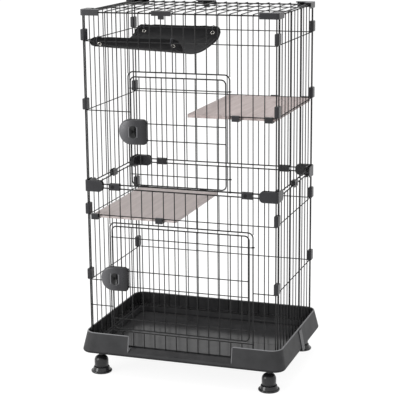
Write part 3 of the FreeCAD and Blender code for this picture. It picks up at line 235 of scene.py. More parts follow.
def grid_mesh(name, points, closed_across=False, closed_along=False):
    """Mesh of a grid of points (rows, columns, 3), with its uv running 0 to 1 along both ways."""
    rows, columns = points.shape[:2]
    across = np.arange(columns if closed_across else columns - 1)
    along = np.arange(rows if closed_along else rows - 1)
    i, j = np.meshgrid(along, across, indexing="ij")
    i2, j2 = (i + 1) % rows, (j + 1) % columns
    faces = np.stack([i * columns + j, i * columns + j2, i2 * columns + j2, i2 * columns + j], axis=-1)
    mesh = bpy.data.meshes.new(name)
    mesh.from_pydata(points.reshape(-1, 3).tolist(), [], faces.reshape(-1, 4).tolist())
    uv = mesh.uv_layers.new(name="surface")
    spots = np.stack([np.stack([j, j + 1, j + 1, j], -1), np.stack([i, i, i + 1, i + 1], -1)], axis=-1)
    scale = np.array([columns if closed_across else columns - 1, rows if closed_along else rows - 1])
    uv.data.foreach_set("uv", (spots / scale).ravel())
    mesh.polygons.foreach_set("use_smooth", np.ones(len(mesh.polygons), dtype=bool))
    mesh.update()
    return mesh


def new_piece(name, mesh, material, body):
    """Adds a mesh to the scene in one material, on a body of the frame."""
    piece = bpy.data.objects.new(name, mesh)
    bpy.context.scene.collection.objects.link(piece)
    mesh.materials.append(material)
    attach(piece, body)
    return piece


# The hood comes straight down over the wheels as a bell, open below, with a hole for the stem on top.
over = np.linspace(0, math.pi / 2, DOME_STEPS)
dome_start, dome_middle = HOOD_TOP - HOOD_ROUND, HOOD_RADIUS - HOOD_ROUND
hood_inside, inner_dome = HOOD_RADIUS - HOOD_WALL, HOOD_ROUND - HOOD_WALL
hood_rim = np.array([
    (hood_inside, HOOD_BOTTOM + HOOD_LIP), (hood_inside + HOOD_LIP, HOOD_BOTTOM),
    (HOOD_RADIUS - HOOD_LIP, HOOD_BOTTOM), (HOOD_RADIUS, HOOD_BOTTOM + HOOD_LIP),
])
hood_profile = np.concatenate([
    np.stack([dome_middle + inner_dome * np.sin(over), dome_start + inner_dome * np.cos(over)], axis=-1),
    hood_rim,
    np.stack([dome_middle + HOOD_ROUND * np.cos(over), dome_start + HOOD_ROUND * np.sin(over)], axis=-1),
])
hood_turn = np.linspace(0, 2 * math.pi, HOOD_STEPS, endpoint=False)
bell_out, bell_height = hood_profile[:, :1], hood_profile[:, 1:] + 0 * hood_turn
for corner in CORNERS:
    hood_low, hood_high = (np.array(spot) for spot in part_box(f"caster_hood_{corner}"))
    hood_x, hood_y, _ = (hood_low + hood_high) / 2
    bell_points = np.stack([
        hood_x + bell_out * np.cos(hood_turn), hood_y + bell_out * np.sin(hood_turn), bell_height,
    ], axis=-1)
    bell_mesh = grid_mesh(f"caster_bell_{corner}", bell_points, closed_across=True, closed_along=True)
    bell = new_piece(f"caster_bell_{corner}", bell_mesh, caster_plastic, f"swivel_{corner}")
    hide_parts(f"caster_hood_{corner}")
cup_plastic = moulded_plastic(
    "cup_polypropylene", dark="#1d1d1e", light="#262628", edge_highlight="#4a4a4c",
    grain=0.9, relief=0.12, edge=1.2, highlight_reach=2.0, gloss=0.17, shine=0.5,
)
dress(cup_plastic, "caster_cups")
wheel_plastic = moulded_plastic(
    "wheel_nylon", dark="#39393b", light="#434346", edge_highlight="#4c4c4f",
    grain=0.9, relief=0.3, edge=0.6, highlight_reach=1.0, gloss=0.4, shine=0.4,
)
dress(wheel_plastic, *(f"caster_wheels_{corner}" for corner in CORNERS))


def worn_metal(name, tint, smooth, rough, scratch):
    """Plated metal whose gloss varies with fine scratches of a given width in mm."""
    material, shader = new_material(name)
    place = add(material, "ShaderNodeTexCoord").outputs["Object"]
    scratch_depth = 0.05 * MM
    lines = add(material, "ShaderNodeTexNoise", {"Vector": place, "Scale": 1 / (scratch * MM), "Detail": 5.0})
    gloss = add(material, "ShaderNodeMapRange", {
        "Value": lines.outputs["Fac"], "From Min": 0.35, "From Max": 0.65, "To Min": smooth, "To Max": rough,
    })
    bump = add(material, "ShaderNodeBump", {
        "Height": lines.outputs["Fac"], "Strength": 0.1, "Distance": scratch_depth,
    })
    shader.inputs["Base Color"].default_value = linear(tint)
    shader.inputs["Metallic"].default_value = 1.0
    feed(material, shader, Roughness=gloss.outputs["Result"], Normal=bump.outputs["Normal"])
    return material


zinc_plate = worn_metal("zinc_plated_steel", tint="#a9a8a4", smooth=0.28, rough=0.42, scratch=0.8)
dress(zinc_plate, *(f"caster_axle_{corner}" for corner in CORNERS))

# Panels, roof, door frames and door leaves.
# Drawn mild-steel wire, bent and spot-welded into grids, then powder-coated in charcoal. The coat is even and
# semi-gloss, with a slight orange peel, so each wire carries one thin soft highlight.
WALLS = ("front", "back", "left", "right")
coated_wire, coat = new_material("charcoal_powder_coat")
wire_place = add(coated_wire, "ShaderNodeTexCoord").outputs["Object"]
PEEL, PEEL_HEIGHT, DRIFT = 0.9 * MM, 0.1 * MM, 60 * MM
peel = add(coated_wire, "ShaderNodeTexNoise", {"Vector": wire_place, "Scale": 1 / PEEL, "Detail": 2.0})
drift = add(coated_wire, "ShaderNodeTexNoise", {"Vector": wire_place, "Scale": 1 / DRIFT, "Detail": 3.0})
coat_shade = add(coated_wire, "ShaderNodeMapRange", {
    "Value": drift.outputs["Fac"], "From Min": 0.3, "From Max": 0.7,
})
coat_colour = add(
    coated_wire, "ShaderNodeMix",
    {"Factor": coat_shade.outputs["Result"], "A": linear("#0e0e0f"), "B": linear("#161617")},
    data_type="RGBA",
)
coat_gloss = add(coated_wire, "ShaderNodeMapRange", {
    "Value": peel.outputs["Fac"], "From Min": 0.3, "From Max": 0.7, "To Min": 0.34, "To Max": 0.46,
})
coat_bump = add(coated_wire, "ShaderNodeBump", {
    "Height": peel.outputs["Fac"], "Strength": 0.2, "Distance": PEEL_HEIGHT,
})
coat.inputs["Specular IOR Level"].default_value = 0.28
feed(
    coated_wire, coat, Base_Color=coat_colour.outputs["Result"], Roughness=coat_gloss.outputs["Result"],
    Normal=coat_bump.outputs["Normal"],
)
for tier in ("lower", "upper"):
    dress(coated_wire, *(f"{tier}_{wall}_panel" for wall in WALLS))
    dress(coated_wire, f"{tier}_door_frame", f"{tier}_door_leaf")
dress(coated_wire, "roof_panel")

# Corner joints, clips and shelf holders.
# Small black ABS mouldings that snap over the wires. A sparked tool leaves a matt grain, and the moulded
# edges are slightly rounded.
SPARKED = {
    "dark": "#232325", "light": "#2c2c2f", "edge_highlight": "#4a4a4c",
    "grain": 1.0, "relief": 0.3, "edge": 1.2, "highlight_reach": 2.0, "gloss": 0.34, "shine": 0.3,
}
clip_plastic = moulded_plastic("sparked_abs", **SPARKED)
for corner in CORNERS:
    dress(clip_plastic, f"roof_joint_{corner}", f"tier_joint_{corner}", f"edge_clips_{corner}")
dress(clip_plastic, "roof_clips", "upper_shelf_holders", "lower_shelf_holders")
# A tier clip has a round dimple from the ejector pin, with painted shade on its floor: the flat faces that
# lie a dimple's depth behind the outer faces, across x or across y.
dimpled_plastic = moulded_plastic("sparked_abs_dimpled", **SPARKED)
dimpled_shader, dimpled_colour = painted(dimpled_plastic)
DIMPLE_DEPTH, DIMPLE_SPREAD, SQUARE_ON = 1.2 * MM, 0.4 * MM, 0.98
clips_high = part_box("tier_clips")[1]
clip_place = add(dimpled_plastic, "ShaderNodeSeparateXYZ", {
    "Vector": add(dimpled_plastic, "ShaderNodeTexCoord").outputs["Object"],
})
clip_facing = add(dimpled_plastic, "ShaderNodeSeparateXYZ", {
    "Vector": add(dimpled_plastic, "ShaderNodeNewGeometry").outputs["True Normal"],
})
for axis, outer_face in (("X", clips_high[0]), ("Y", clips_high[1])):
    way_out = add(dimpled_plastic, "ShaderNodeMath", {0: clip_place.outputs[axis]}, operation="ABSOLUTE")
    sunk = add(dimpled_plastic, "ShaderNodeMath", {
        0: way_out.outputs["Value"], 1: outer_face - DIMPLE_DEPTH, 2: DIMPLE_SPREAD,
    }, operation="COMPARE")
    facing_out = add(dimpled_plastic, "ShaderNodeMath", {0: clip_facing.outputs[axis]}, operation="ABSOLUTE")
    flat_face = add(
        dimpled_plastic, "ShaderNodeMath", {0: facing_out.outputs["Value"], 1: SQUARE_ON},
        operation="GREATER_THAN",
    )
    dimple_shade = add(
        dimpled_plastic, "ShaderNodeMath", {0: sunk.outputs["Value"], 1: flat_face.outputs["Value"]},
        operation="MULTIPLY",
    )
    dimpled_colour = add(
        dimpled_plastic, "ShaderNodeMix",
        {"Factor": dimple_shade.outputs["Value"], "A": dimpled_colour, "B": linear("#060607")},
        data_type="RGBA",
    ).outputs["Result"]
feed(dimpled_plastic, dimpled_shader, Base_Color=dimpled_colour)
dress(dimpled_plastic, "tier_clips")

# Door locks.
# A moulded ABS cover, domed in front, with a finger recess between two raised ridges, and a flat back plate
# behind the leaf, drawn together by zinc-plated screws. The cover is glossy because hands polish it.
lock_plastic = moulded_plastic(
    "polished_abs", dark="#242426", light="#2d2d30", edge_highlight="#68686b",
    grain=1.1, relief=0.15, edge=1.2, highlight_reach=2.6, gloss=0.28, shine=0.4,
)
lock_shader, lock_colour = painted(lock_plastic)
# Painted shade darkens the recess, more where less of the open side is seen within a reach.
RECESS_SHADE_REACH = 22 * MM
open_side = add(lock_plastic, "ShaderNodeAmbientOcclusion", {"Distance": RECESS_SHADE_REACH}, samples=8)
recess_shade = add(lock_plastic, "ShaderNodeMapRange", {
    "Value": open_side.outputs["AO"], "From Min": 0.62, "From Max": 0.92, "To Min": 1.0, "To Max": 0.0,
})
recess_shaded = add(
    lock_plastic, "ShaderNodeMix",
    {"Factor": recess_shade.outputs["Result"], "A": lock_colour, "B": linear("#080809")}, data_type="RGBA",
)
# The mesh carries two places of its own: a painted highlight that makes the plastic pale, and painted shade.
painted_highlight = add(lock_plastic, "ShaderNodeAttribute", attribute_name="painted_highlight", attribute_type="GEOMETRY")
paled = add(
    lock_plastic, "ShaderNodeMix",
    {"Factor": painted_highlight.outputs["Fac"], "A": recess_shaded.outputs["Result"], "B": linear("#747477")},
    data_type="RGBA",
)
painted_shade = add(lock_plastic, "ShaderNodeAttribute", attribute_name="painted_shade", attribute_type="GEOMETRY")
cover_shaded = add(
    lock_plastic, "ShaderNodeMix",
    {"Factor": painted_shade.outputs["Fac"], "A": paled.outputs["Result"], "B": linear("#070708")},
    data_type="RGBA",
)
feed(lock_plastic, lock_shader, Base_Color=cover_shaded.outputs["Result"])
# The cover's corner radii, left and right; the recess's half width, half height and corner radii.
COVER_ROUND = (37 * MM, 11 * MM)
RECESS = (11 * MM, 20.5 * MM, 10.5 * MM, 10.5 * MM)
COVER_DEPTH, COVER_EDGE, BACK_EDGE = 14 * MM, 6 * MM, 0.3 * MM
DOME_ACROSS, DOME_UP = 5.5 * MM, 2.5 * MM
RECESS_SHIFT, RECESS_DEPTH, SCOOP = 3.5 * MM, 12 * MM, 0.85
RIDGE_HALF, RIDGE_LONG, RIDGE_FADE, RIDGE_RISE = 2.1 * MM, 17 * MM, 4 * MM, 2.2 * MM
RIDGE_GAP, SAME_PLACE = 0.3 * MM, 0.001 * MM
RIDGE_PLACE = RECESS[0] + RIDGE_GAP + RIDGE_HALF
RIDGE_SHADOW_PLACE, RIDGE_SHADOW_WIDTH = RIDGE_PLACE + 1.45 * RIDGE_HALF, 1.3 * MM


def slab_distance(x, z, half_x, half_z, left_round, right_round):
    """Distance outside a rectangle whose left and right corners have their own radii; negative inside."""
    radius = np.where(x < 0, left_round, right_round)
    out_x, out_z = np.abs(x) - half_x + radius, np.abs(z) - half_z + radius
    beyond = np.hypot(np.maximum(out_x, 0), np.maximum(out_z, 0))
    return beyond + np.minimum(np.maximum(out_x, out_z), 0) - radius


def edge_reach(turn, start_x, outline):
    """How far a ray at each turn runs from a start on the middle line to an outline, by halving the range."""
    furthest, halvings = 120 * MM, 40
    near, far = np.zeros_like(turn), np.full_like(turn, furthest)
    for _ in range(halvings):
        half = (near + far) / 2
        inside = slab_distance(start_x + half * np.cos(turn), half * np.sin(turn), *outline) < 0
        near, far = np.where(inside, half, near), np.where(inside, far, half)
    return near


def lock_cover_points(half_x, half_z):
    """Rings round the recess, from the middle of the flat back over the outer edge and the domed front into
    the recess: the front falls with the square of the way from its middle, each ridge is half an ellipse, and
    the left and the ridges carry a painted highlight, while painted shade lies beside the left ridge, toward
    the hinge and in the recess."""
    round_steps, edge_steps, front_steps, scoop_steps = 288, 9, 40, 17
    pale_left, pale_ridge, ridge_shadow_dark, hinge_shade, shade_most = 0.55, 0.7, 0.85, 0.55, 0.95
    turn = np.linspace(0, 2 * math.pi, round_steps, endpoint=False)
    outer = edge_reach(turn, RECESS_SHIFT, (half_x, half_z, *COVER_ROUND))
    inner = edge_reach(turn, 0.0, RECESS)
    bend = np.linspace(0, math.pi / 2, edge_steps)[:, None]
    edge_in, edge_drop = COVER_EDGE * (1 - np.cos(bend)), COVER_EDGE * (1 - np.sin(bend))
    front = np.linspace(0, 1, front_steps)[1:, None]
    scoop = np.linspace(0, 1, scoop_steps)[1:, None]
    back = np.array([[0.0], [0.5], [0.995], [1.0]])
    reach = np.concatenate([
        outer * back, outer - edge_in,
        (outer - COVER_EDGE) * (1 - front) + inner * front, inner * (1 - scoop),
    ])
    drop = np.concatenate([
        np.zeros_like(back), edge_drop, np.zeros_like(front), RECESS_DEPTH * scoop ** SCOOP,
    ])
    x, z = RECESS_SHIFT + reach * np.cos(turn), reach * np.sin(turn)
    dome = COVER_DEPTH - DOME_ACROSS * (x / half_x) ** 2 - DOME_UP * (z / half_z) ** 2
    from_ridge = np.clip((np.abs(x - RECESS_SHIFT) - RIDGE_PLACE) / RIDGE_HALF, -1, 1)
    ridge_end = np.clip((RIDGE_LONG - np.abs(z)) / RIDGE_FADE, 0, 1)
    rise = RIDGE_RISE * np.sqrt(1 - from_ridge ** 2) * ridge_end * (drop == 0)
    in_recess = reach < inner
    depth = dome + rise - drop
    depth[:3] = 0
    depth[3] = BACK_EDGE
    # Painted highlight on the left side and the ridges; painted shade beside the left ridge, to the hinge, in
    # the recess.
    lit_side = np.clip((0.35 - x / half_x) / 1.35, 0, 1) ** 1.3
    painted_highlight = np.clip(pale_left * lit_side + pale_ridge * rise / RIDGE_RISE, 0, 1)
    beside_ridge = (x - RECESS_SHIFT + RIDGE_SHADOW_PLACE) / RIDGE_SHADOW_WIDTH
    ridge_shadow = ridge_shadow_dark * np.exp(-beside_ridge ** 2) * ridge_end
    hinge_side = hinge_shade * np.clip((x / half_x - 0.6) / 0.25, 0, 1)
    sunk_in = 4 * in_recess * drop / RECESS_DEPTH
    painted_shade = np.clip(np.maximum.reduce([ridge_shadow, hinge_side, sunk_in]), 0, shade_most)
    return x, depth, z, painted_highlight, painted_shade


for tier in ("lower", "upper"):
    dress(lock_plastic, f"{tier}_lock_plate", f"{tier}_lock_spacers")
    dress(zinc_plate, f"{tier}_lock_screws")
    cover_low, cover_high = (np.array(corner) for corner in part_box(f"{tier}_lock_cover"))
    cover_middle, cover_half = (cover_low + cover_high) / 2, (cover_high - cover_low) / 2
    x, depth, z, highlight_share, shade_share = lock_cover_points(cover_half[0], cover_half[2])
    cover_points = np.stack([x + cover_middle[0], cover_high[1] - depth, z + cover_middle[2]], axis=-1)
    cover_mesh = grid_mesh(f"{tier}_lock_dome", cover_points, closed_across=True)
    for name, share in (("painted_highlight", highlight_share), ("painted_shade", shade_share)):
        wear = cover_mesh.attributes.new(name, "FLOAT", "POINT")
        wear.data.foreach_set("value", share.astype(np.float32).ravel())
    shell = bmesh.new()
    shell.from_mesh(cover_mesh)
    bmesh.ops.remove_doubles(shell, verts=shell.verts, dist=SAME_PLACE)
    shell.to_mesh(cover_mesh)
    shell.free()
    cover = new_piece(f"{tier}_lock_dome", cover_mesh, lock_plastic, f"{tier}_lock")
    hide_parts(f"{tier}_lock_cover")

# Shelf boards.
# Nine-millimetre fibreboard faced with a greyed wood-grain foil. The grain runs from front to back in long
# soft streaks, with short darker pores, under a matt lacquer.
wood_foil, lacquer = new_material("grey_oak_foil")
board_place = add(wood_foil, "ShaderNodeTexCoord").outputs["Object"]


def streaks(width, length, detail, bend):
    """Noise drawn out along the board: width and length of a streak in mm."""
    stretch = add(wood_foil, "ShaderNodeMapping", {
        "Vector": board_place, "Scale": (1 / (width * MM), 1 / (length * MM), 1 / (width * MM)),
    })
    return add(wood_foil, "ShaderNodeTexNoise", {
        "Vector": stretch.outputs["Vector"], "Scale": 1.0, "Detail": detail, "Distortion": bend,
    }).outputs["Fac"]


broad = add(wood_foil, "ShaderNodeMapRange", {
    "Value": streaks(width=16, length=240, detail=5.0, bend=0.6), "From Min": 0.32, "From Max": 0.68,
})
fine = add(wood_foil, "ShaderNodeMapRange", {
    "Value": streaks(width=3.2, length=90, detail=3.0, bend=0.2), "From Min": 0.3, "From Max": 0.72,
})
pores = add(wood_foil, "ShaderNodeMapRange", {
    "Value": streaks(width=1.4, length=26, detail=1.0, bend=0.0), "From Min": 0.62, "From Max": 0.72,
})
board_colour = add(
    wood_foil, "ShaderNodeMix",
    {"Factor": broad.outputs["Result"], "A": linear("#ab9f9d"), "B": linear("#c3b7b5")}, data_type="RGBA",
)
grain_colour = add(
    wood_foil, "ShaderNodeMix",
    {"Factor": fine.outputs["Result"], "A": linear("#e9e3e1"), "B": linear("#ffffff")}, data_type="RGBA",
)
veined = add(
    wood_foil, "ShaderNodeMix",
    {"Factor": 1.0, "A": board_colour.outputs["Result"], "B": grain_colour.outputs["Result"]},
    data_type="RGBA", blend_type="MULTIPLY",
)
PORE_TINT = 0.35
pore_share = add(
    wood_foil, "ShaderNodeMath", {0: pores.outputs["Result"], 1: PORE_TINT}, operation="MULTIPLY",
)
pored = add(
    wood_foil, "ShaderNodeMix",
    {"Factor": pore_share.outputs["Value"], "A": veined.outputs["Result"], "B": linear("#93847f")},
    data_type="RGBA",
)
# The lower board is painted paler than the upper one, as painted light in the shade under the upper board.
BETWEEN_BOARDS, LOWER_BOARD_LIGHT = 700 * MM, 0.16
board_height = add(wood_foil, "ShaderNodeSeparateXYZ", {"Vector": board_place}).outputs["Z"]
lower_board = add(wood_foil, "ShaderNodeMath", {0: board_height, 1: BETWEEN_BOARDS}, operation="LESS_THAN")
lower_light_share = add(
    wood_foil, "ShaderNodeMath", {0: lower_board.outputs["Value"], 1: LOWER_BOARD_LIGHT}, operation="MULTIPLY",
)
lower_board_lit = add(
    wood_foil, "ShaderNodeMix",
    {"Factor": lower_light_share.outputs["Value"], "A": pored.outputs["Result"], "B": linear("#fffcfa")},
    data_type="RGBA",
)
BOARD_EDGE, PORE_DEPTH = 1.2 * MM, 0.1 * MM
board_gloss = add(wood_foil, "ShaderNodeMapRange", {
    "Value": fine.outputs["Result"], "To Min": 0.52, "To Max": 0.6,
})
board_edge = add(wood_foil, "ShaderNodeBevel", {"Radius": BOARD_EDGE}, samples=4)
board_bump = add(wood_foil, "ShaderNodeBump", {
    "Height": pores.outputs["Result"], "Strength": 0.2, "Distance": PORE_DEPTH,
    "Normal": board_edge.outputs["Normal"],
}, invert=True)
feed(
    wood_foil, lacquer, Base_Color=lower_board_lit.outputs["Result"], Roughness=board_gloss.outputs["Result"],
    Normal=board_bump.outputs["Normal"],
)
dress(wood_foil, "upper_shelf", "lower_shelf")

# Hammock cloth.
# A double layer of black polyester canvas, hung by four eyelets from the front and back rails. It falls
# steeply from both ends, runs gently through the middle, hangs deeper to the right and pulls in at its sides.
low, high = (np.array(corner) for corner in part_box("hammock"))
CLOTH, LOWEST = 2.2 * MM, 3 * MM
MIDDLE, MIDDLE_BEND = 160 * MM, 660 * MM
WAIST = 13 * MM
FRONT_CORNER, REAR_CORNER = (24 * MM, 44 * MM), (20 * MM, 40 * MM)
RIPPLE, RIPPLE_FADE, RIPPLE_START = 1.8 * MM, 60 * MM, 22 * MM
RIPPLES_ROUND, RIPPLE_SHIFT = 9, 40
RUN_STEPS, CLOTH_ACROSS, CLOTH_ALONG = 600, 121, 161
LEFT_SAG, RIGHT_SAG = -6 * MM, 7 * MM
EYELET_LEFT, EYELET_RIGHT, EYELET_INSET = -256 * MM, -23 * MM, 12 * MM
half_run = high[1]
sag = high[2] - low[2] - LOWEST
middle_sine = MIDDLE / MIDDLE_BEND
middle_cosine = math.sqrt(1 - middle_sine ** 2)
middle_rise = MIDDLE_BEND * (1 - middle_cosine)
end_run, end_rise = half_run - MIDDLE, sag - middle_rise
end_bend = (end_run ** 2 + end_rise ** 2) / (2 * (end_rise * middle_cosine - end_run * middle_sine))
end_y = MIDDLE - end_bend * middle_sine
end_z = middle_rise + end_bend * middle_cosine
eyelet_y = half_run - EYELET_INSET


def cloth_rise(y):
    """Height over the lowest line of the hammock: a wide arc in the middle, a tighter one to each end."""
    out = np.abs(y)
    gentle = MIDDLE_BEND - np.sqrt(MIDDLE_BEND ** 2 - np.minimum(out, MIDDLE) ** 2)
    steep = end_z - np.sqrt(end_bend ** 2 - np.clip(out - end_y, 0, half_run - end_y) ** 2)
    return np.where(out < MIDDLE, gentle, steep)


run_places = np.linspace(0, half_run, RUN_STEPS)
run_lengths = np.concatenate([[0], np.cumsum(np.hypot(np.diff(run_places), np.diff(cloth_rise(run_places))))])
half_length = run_lengths[-1]


def cloth_points(side, run):
    """Place on the cloth: side 0 to 1 from left to right, run -1 to 1 from front to back along the cloth. The
    corners are cut round, the front ones more than the rear, and short ripples fade away from each eyelet."""
    y = np.sign(run) * np.interp(np.abs(run) * half_length, run_lengths, run_places)
    from_end = half_length * (1 - np.abs(run))
    round_across, round_along = (
        np.where(run < 0, front, rear) for front, rear in zip(FRONT_CORNER, REAR_CORNER)
    )
    near_corner = np.clip(1 - from_end / round_along, 0, 1)
    pull = WAIST * (1 - (y / half_run) ** 4) + round_across * (1 - np.sqrt(1 - near_corner ** 2))
    x = low[0] + pull + (high[0] - low[0] - 2 * pull) * side
    hang = np.clip(1 - np.abs(y / eyelet_y) ** 8, 0, 1)
    z = low[2] + LOWEST + cloth_rise(y) - hang * (LEFT_SAG + (RIGHT_SAG - LEFT_SAG) * side)
    ripple = np.zeros_like(z)
    for hole_x in (EYELET_LEFT, EYELET_RIGHT):
        for end in (-1, 1):
            dx, dy = x - hole_x, eyelet_y - y * end
            reach = np.hypot(dx, dy)
            fade = np.exp(-reach / RIPPLE_FADE) * np.clip(reach / RIPPLE_START - 0.45, 0, 1)
            wave = np.cos(np.arctan2(dx, dy) * RIPPLES_ROUND + hole_x * RIPPLE_SHIFT)
            ripple = ripple + RIPPLE * fade * wave
    return np.stack([x, y, z + ripple], axis=-1)


side, run = np.meshgrid(np.linspace(0, 1, CLOTH_ACROSS), np.linspace(-1, 1, CLOTH_ALONG))
cloth_mesh = grid_mesh("hammock_cloth", cloth_points(side, run))
canvas, weave = new_material("black_polyester_canvas")
cloth_place = add(canvas, "ShaderNodeUVMap", uv_map="surface").outputs["UV"]
flat_width, flat_length = float(high[0] - low[0]), 2 * float(half_length)
# Threads of canvas lie 0.5 mm apart; drawn 1.6 mm apart so that the weave shows.
THREAD, THREAD_HEIGHT, FUZZ = 1.6 * MM, 0.3 * MM, 14 * MM
threads = add(canvas, "ShaderNodeMapping", {
    "Vector": cloth_place, "Scale": (flat_width / THREAD, flat_length / THREAD, 1.0),
})
split = add(canvas, "ShaderNodeSeparateXYZ", {"Vector": threads.outputs["Vector"]})
warp = add(canvas, "ShaderNodeMath", {0: split.outputs["X"], 1: math.pi}, operation="MULTIPLY")
weft = add(canvas, "ShaderNodeMath", {0: split.outputs["Y"], 1: math.pi}, operation="MULTIPLY")
warp_wave = add(canvas, "ShaderNodeMath", {0: warp.outputs["Value"]}, operation="SINE")
weft_wave = add(canvas, "ShaderNodeMath", {0: weft.outputs["Value"]}, operation="SINE")
crossing = add(
    canvas, "ShaderNodeMath", {0: warp_wave.outputs["Value"], 1: weft_wave.outputs["Value"]},
    operation="MULTIPLY",
)
fuzz = add(canvas, "ShaderNodeTexNoise", {
    "Vector": add(canvas, "ShaderNodeTexCoord").outputs["Object"], "Scale": 1 / FUZZ, "Detail": 5.0,
})
woven = add(canvas, "ShaderNodeMapRange", {
    "Value": crossing.outputs["Value"], "From Min": -1.0, "From Max": 1.0,
})
tone = add(
    canvas, "ShaderNodeMath", {0: woven.outputs["Result"], 1: fuzz.outputs["Fac"]}, operation="MULTIPLY",
)
cloth_colour = add(
    canvas, "ShaderNodeMix",
    {"Factor": tone.outputs["Value"], "A": linear("#0f0f10"), "B": linear("#212123")}, data_type="RGBA",
)
weave_bump = add(canvas, "ShaderNodeBump", {
    "Height": woven.outputs["Result"], "Strength": 0.45, "Distance": THREAD_HEIGHT,
})
weave.inputs["Roughness"].default_value = 0.8
weave.inputs["Specular IOR Level"].default_value = 0.15
weave.inputs["Sheen Weight"].default_value = 0.04
weave.inputs["Sheen Roughness"].default_value = 0.5
feed(canvas, weave, Base_Color=cloth_colour.outputs["Result"], Normal=weave_bump.outputs["Normal"])
cloth = new_piece("hammock_cloth", cloth_mesh, canvas, "cage")
thick = cloth.modifiers.new("thickness", "SOLIDIFY")
thick.thickness = CLOTH
thick.offset = -1
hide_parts("hammock")

# Hammock binding.
# A folded tape of the same polyester, sewn over the raw edge all round with a line of lock stitches 4 mm from
# its inner edge.
EDGE_STEPS, INWARD_STEP = 360, 0.06
round_trip = np.linspace(0, 4, EDGE_STEPS, endpoint=False)
leg, share = np.floor(round_trip).astype(int), round_trip % 1
edge_side = np.choose(leg, [share, np.ones_like(share), 1 - share, np.zeros_like(share)])
edge_run = np.choose(leg, [-np.ones_like(share), 2 * share - 1, np.ones_like(share), 1 - 2 * share])
rim = cloth_points(edge_side, edge_run)
heading = np.roll(rim, -1, axis=0) - np.roll(rim, 1, axis=0)
heading = heading / np.linalg.norm(heading, axis=1, keepdims=True)
inside = cloth_points(0.5 + (edge_side - 0.5) * (1 - INWARD_STEP), edge_run * (1 - INWARD_STEP))
inward = inside - rim
inward = inward - heading * np.sum(inward * heading, axis=1, keepdims=True)
inward = inward / np.linalg.norm(inward, axis=1, keepdims=True)
upward = np.cross(heading, inward)
upward = upward * np.sign(upward[:, 2:3])
profile_in = np.array([11, 10.6, 4, 0.4, -0.9, -0.9, 0.4, 4, 10.6, 11]) * MM
profile_up = np.array([0.05, 0.35, 0.5, 0.45, 0.1, -2.3, -2.7, -2.75, -2.6, -2.25]) * MM
tape_points = (
    rim[:, None, :] + inward[:, None, :] * profile_in[None, :, None]
    + upward[:, None, :] * profile_up[None, :, None]
)
tape_mesh = grid_mesh("hammock_binding", tape_points, closed_along=True)
tape_cloth, tape_weave = new_material("ribbed_polyester_tape")
tape_place = add(tape_cloth, "ShaderNodeUVMap", uv_map="surface").outputs["UV"]
edge_length = float(np.linalg.norm(np.roll(rim, -1, axis=0) - rim, axis=1).sum())
STITCH, STITCH_SHARE, RIB, RIB_SHARE, TAPE_RELIEF = 6 * MM, 0.62, 2 * MM, 0.25, 0.4 * MM
SEAM_PLACE, SEAM_HALF = 0.17, 0.03
tape_grid = add(tape_cloth, "ShaderNodeSeparateXYZ", {"Vector": tape_place})
pitch = add(
    tape_cloth, "ShaderNodeMath", {0: tape_grid.outputs["Y"], 1: round(edge_length / STITCH)},
    operation="MULTIPLY",
)
beat = add(tape_cloth, "ShaderNodeMath", {0: pitch.outputs["Value"]}, operation="FRACT")
dash = add(tape_cloth, "ShaderNodeMath", {0: beat.outputs["Value"], 1: STITCH_SHARE}, operation="LESS_THAN")
seam = add(
    tape_cloth, "ShaderNodeMath", {0: tape_grid.outputs["X"], 1: SEAM_PLACE, 2: SEAM_HALF},
    operation="COMPARE",
)
stitch = add(
    tape_cloth, "ShaderNodeMath", {0: dash.outputs["Value"], 1: seam.outputs["Value"]}, operation="MULTIPLY",
)
rib = add(
    tape_cloth, "ShaderNodeMath", {0: tape_grid.outputs["Y"], 1: 2 * math.pi * edge_length / RIB},
    operation="MULTIPLY",
)
rib_wave = add(tape_cloth, "ShaderNodeMath", {0: rib.outputs["Value"]}, operation="SINE")
tape_height = add(
    tape_cloth, "ShaderNodeMath", {0: rib_wave.outputs["Value"], 1: RIB_SHARE, 2: stitch.outputs["Value"]},
    operation="MULTIPLY_ADD",
)
tape_colour = add(
    tape_cloth, "ShaderNodeMix",
    {"Factor": stitch.outputs["Value"], "A": linear("#161617"), "B": linear("#38383b")}, data_type="RGBA",
)
tape_bump = add(tape_cloth, "ShaderNodeBump", {
    "Height": tape_height.outputs["Value"], "Strength": 0.5, "Distance": TAPE_RELIEF,
})
tape_weave.inputs["Roughness"].default_value = 0.7
tape_weave.inputs["Specular IOR Level"].default_value = 0.15
feed(tape_cloth, tape_weave, Base_Color=tape_colour.outputs["Result"], Normal=tape_bump.outputs["Normal"])
binding = new_piece("hammock_binding", tape_mesh, tape_cloth, "cage")

# Eyelets and split rings of the hammock.
# Pressed and rolled brass eyelets, bright nickel plated, and split rings of spring wire in black nickel,
# through the eyelets and over the rails.
nickel = worn_metal("nickel_plate", tint="#cfccc6", smooth=0.12, rough=0.24, scratch=1.2)
dark_nickel = worn_metal("black_nickel_plate", tint="#4c4c50", smooth=0.3, rough=0.42, scratch=1.2)
dress(dark_nickel, "hammock_rings")
EYELET_BORE, EYELET_ROUND, EYELET_HALF = 4.3 * MM, 7 * MM, 2.2 * MM
AROUND_STEPS, ROLL_STEPS = 40, 20
around = np.linspace(0, 2 * math.pi, AROUND_STEPS, endpoint=False)
roll = np.linspace(0, 2 * math.pi, ROLL_STEPS, endpoint=False)
roll_radius = (EYELET_ROUND - EYELET_BORE) / 2
roll_out = (EYELET_ROUND + EYELET_BORE) / 2 + roll_radius * np.cos(roll)
roll_up = EYELET_HALF * np.sin(roll)
lean = math.asin((eyelet_y - end_y) / end_bend)
eyelet_z = low[2] + LOWEST + float(cloth_rise(eyelet_y)) - CLOTH / 2
flat_x = np.cos(around)[:, None] * roll_out
flat_y = np.sin(around)[:, None] * roll_out
flat_z = np.broadcast_to(roll_up, flat_x.shape)
eyelets = []
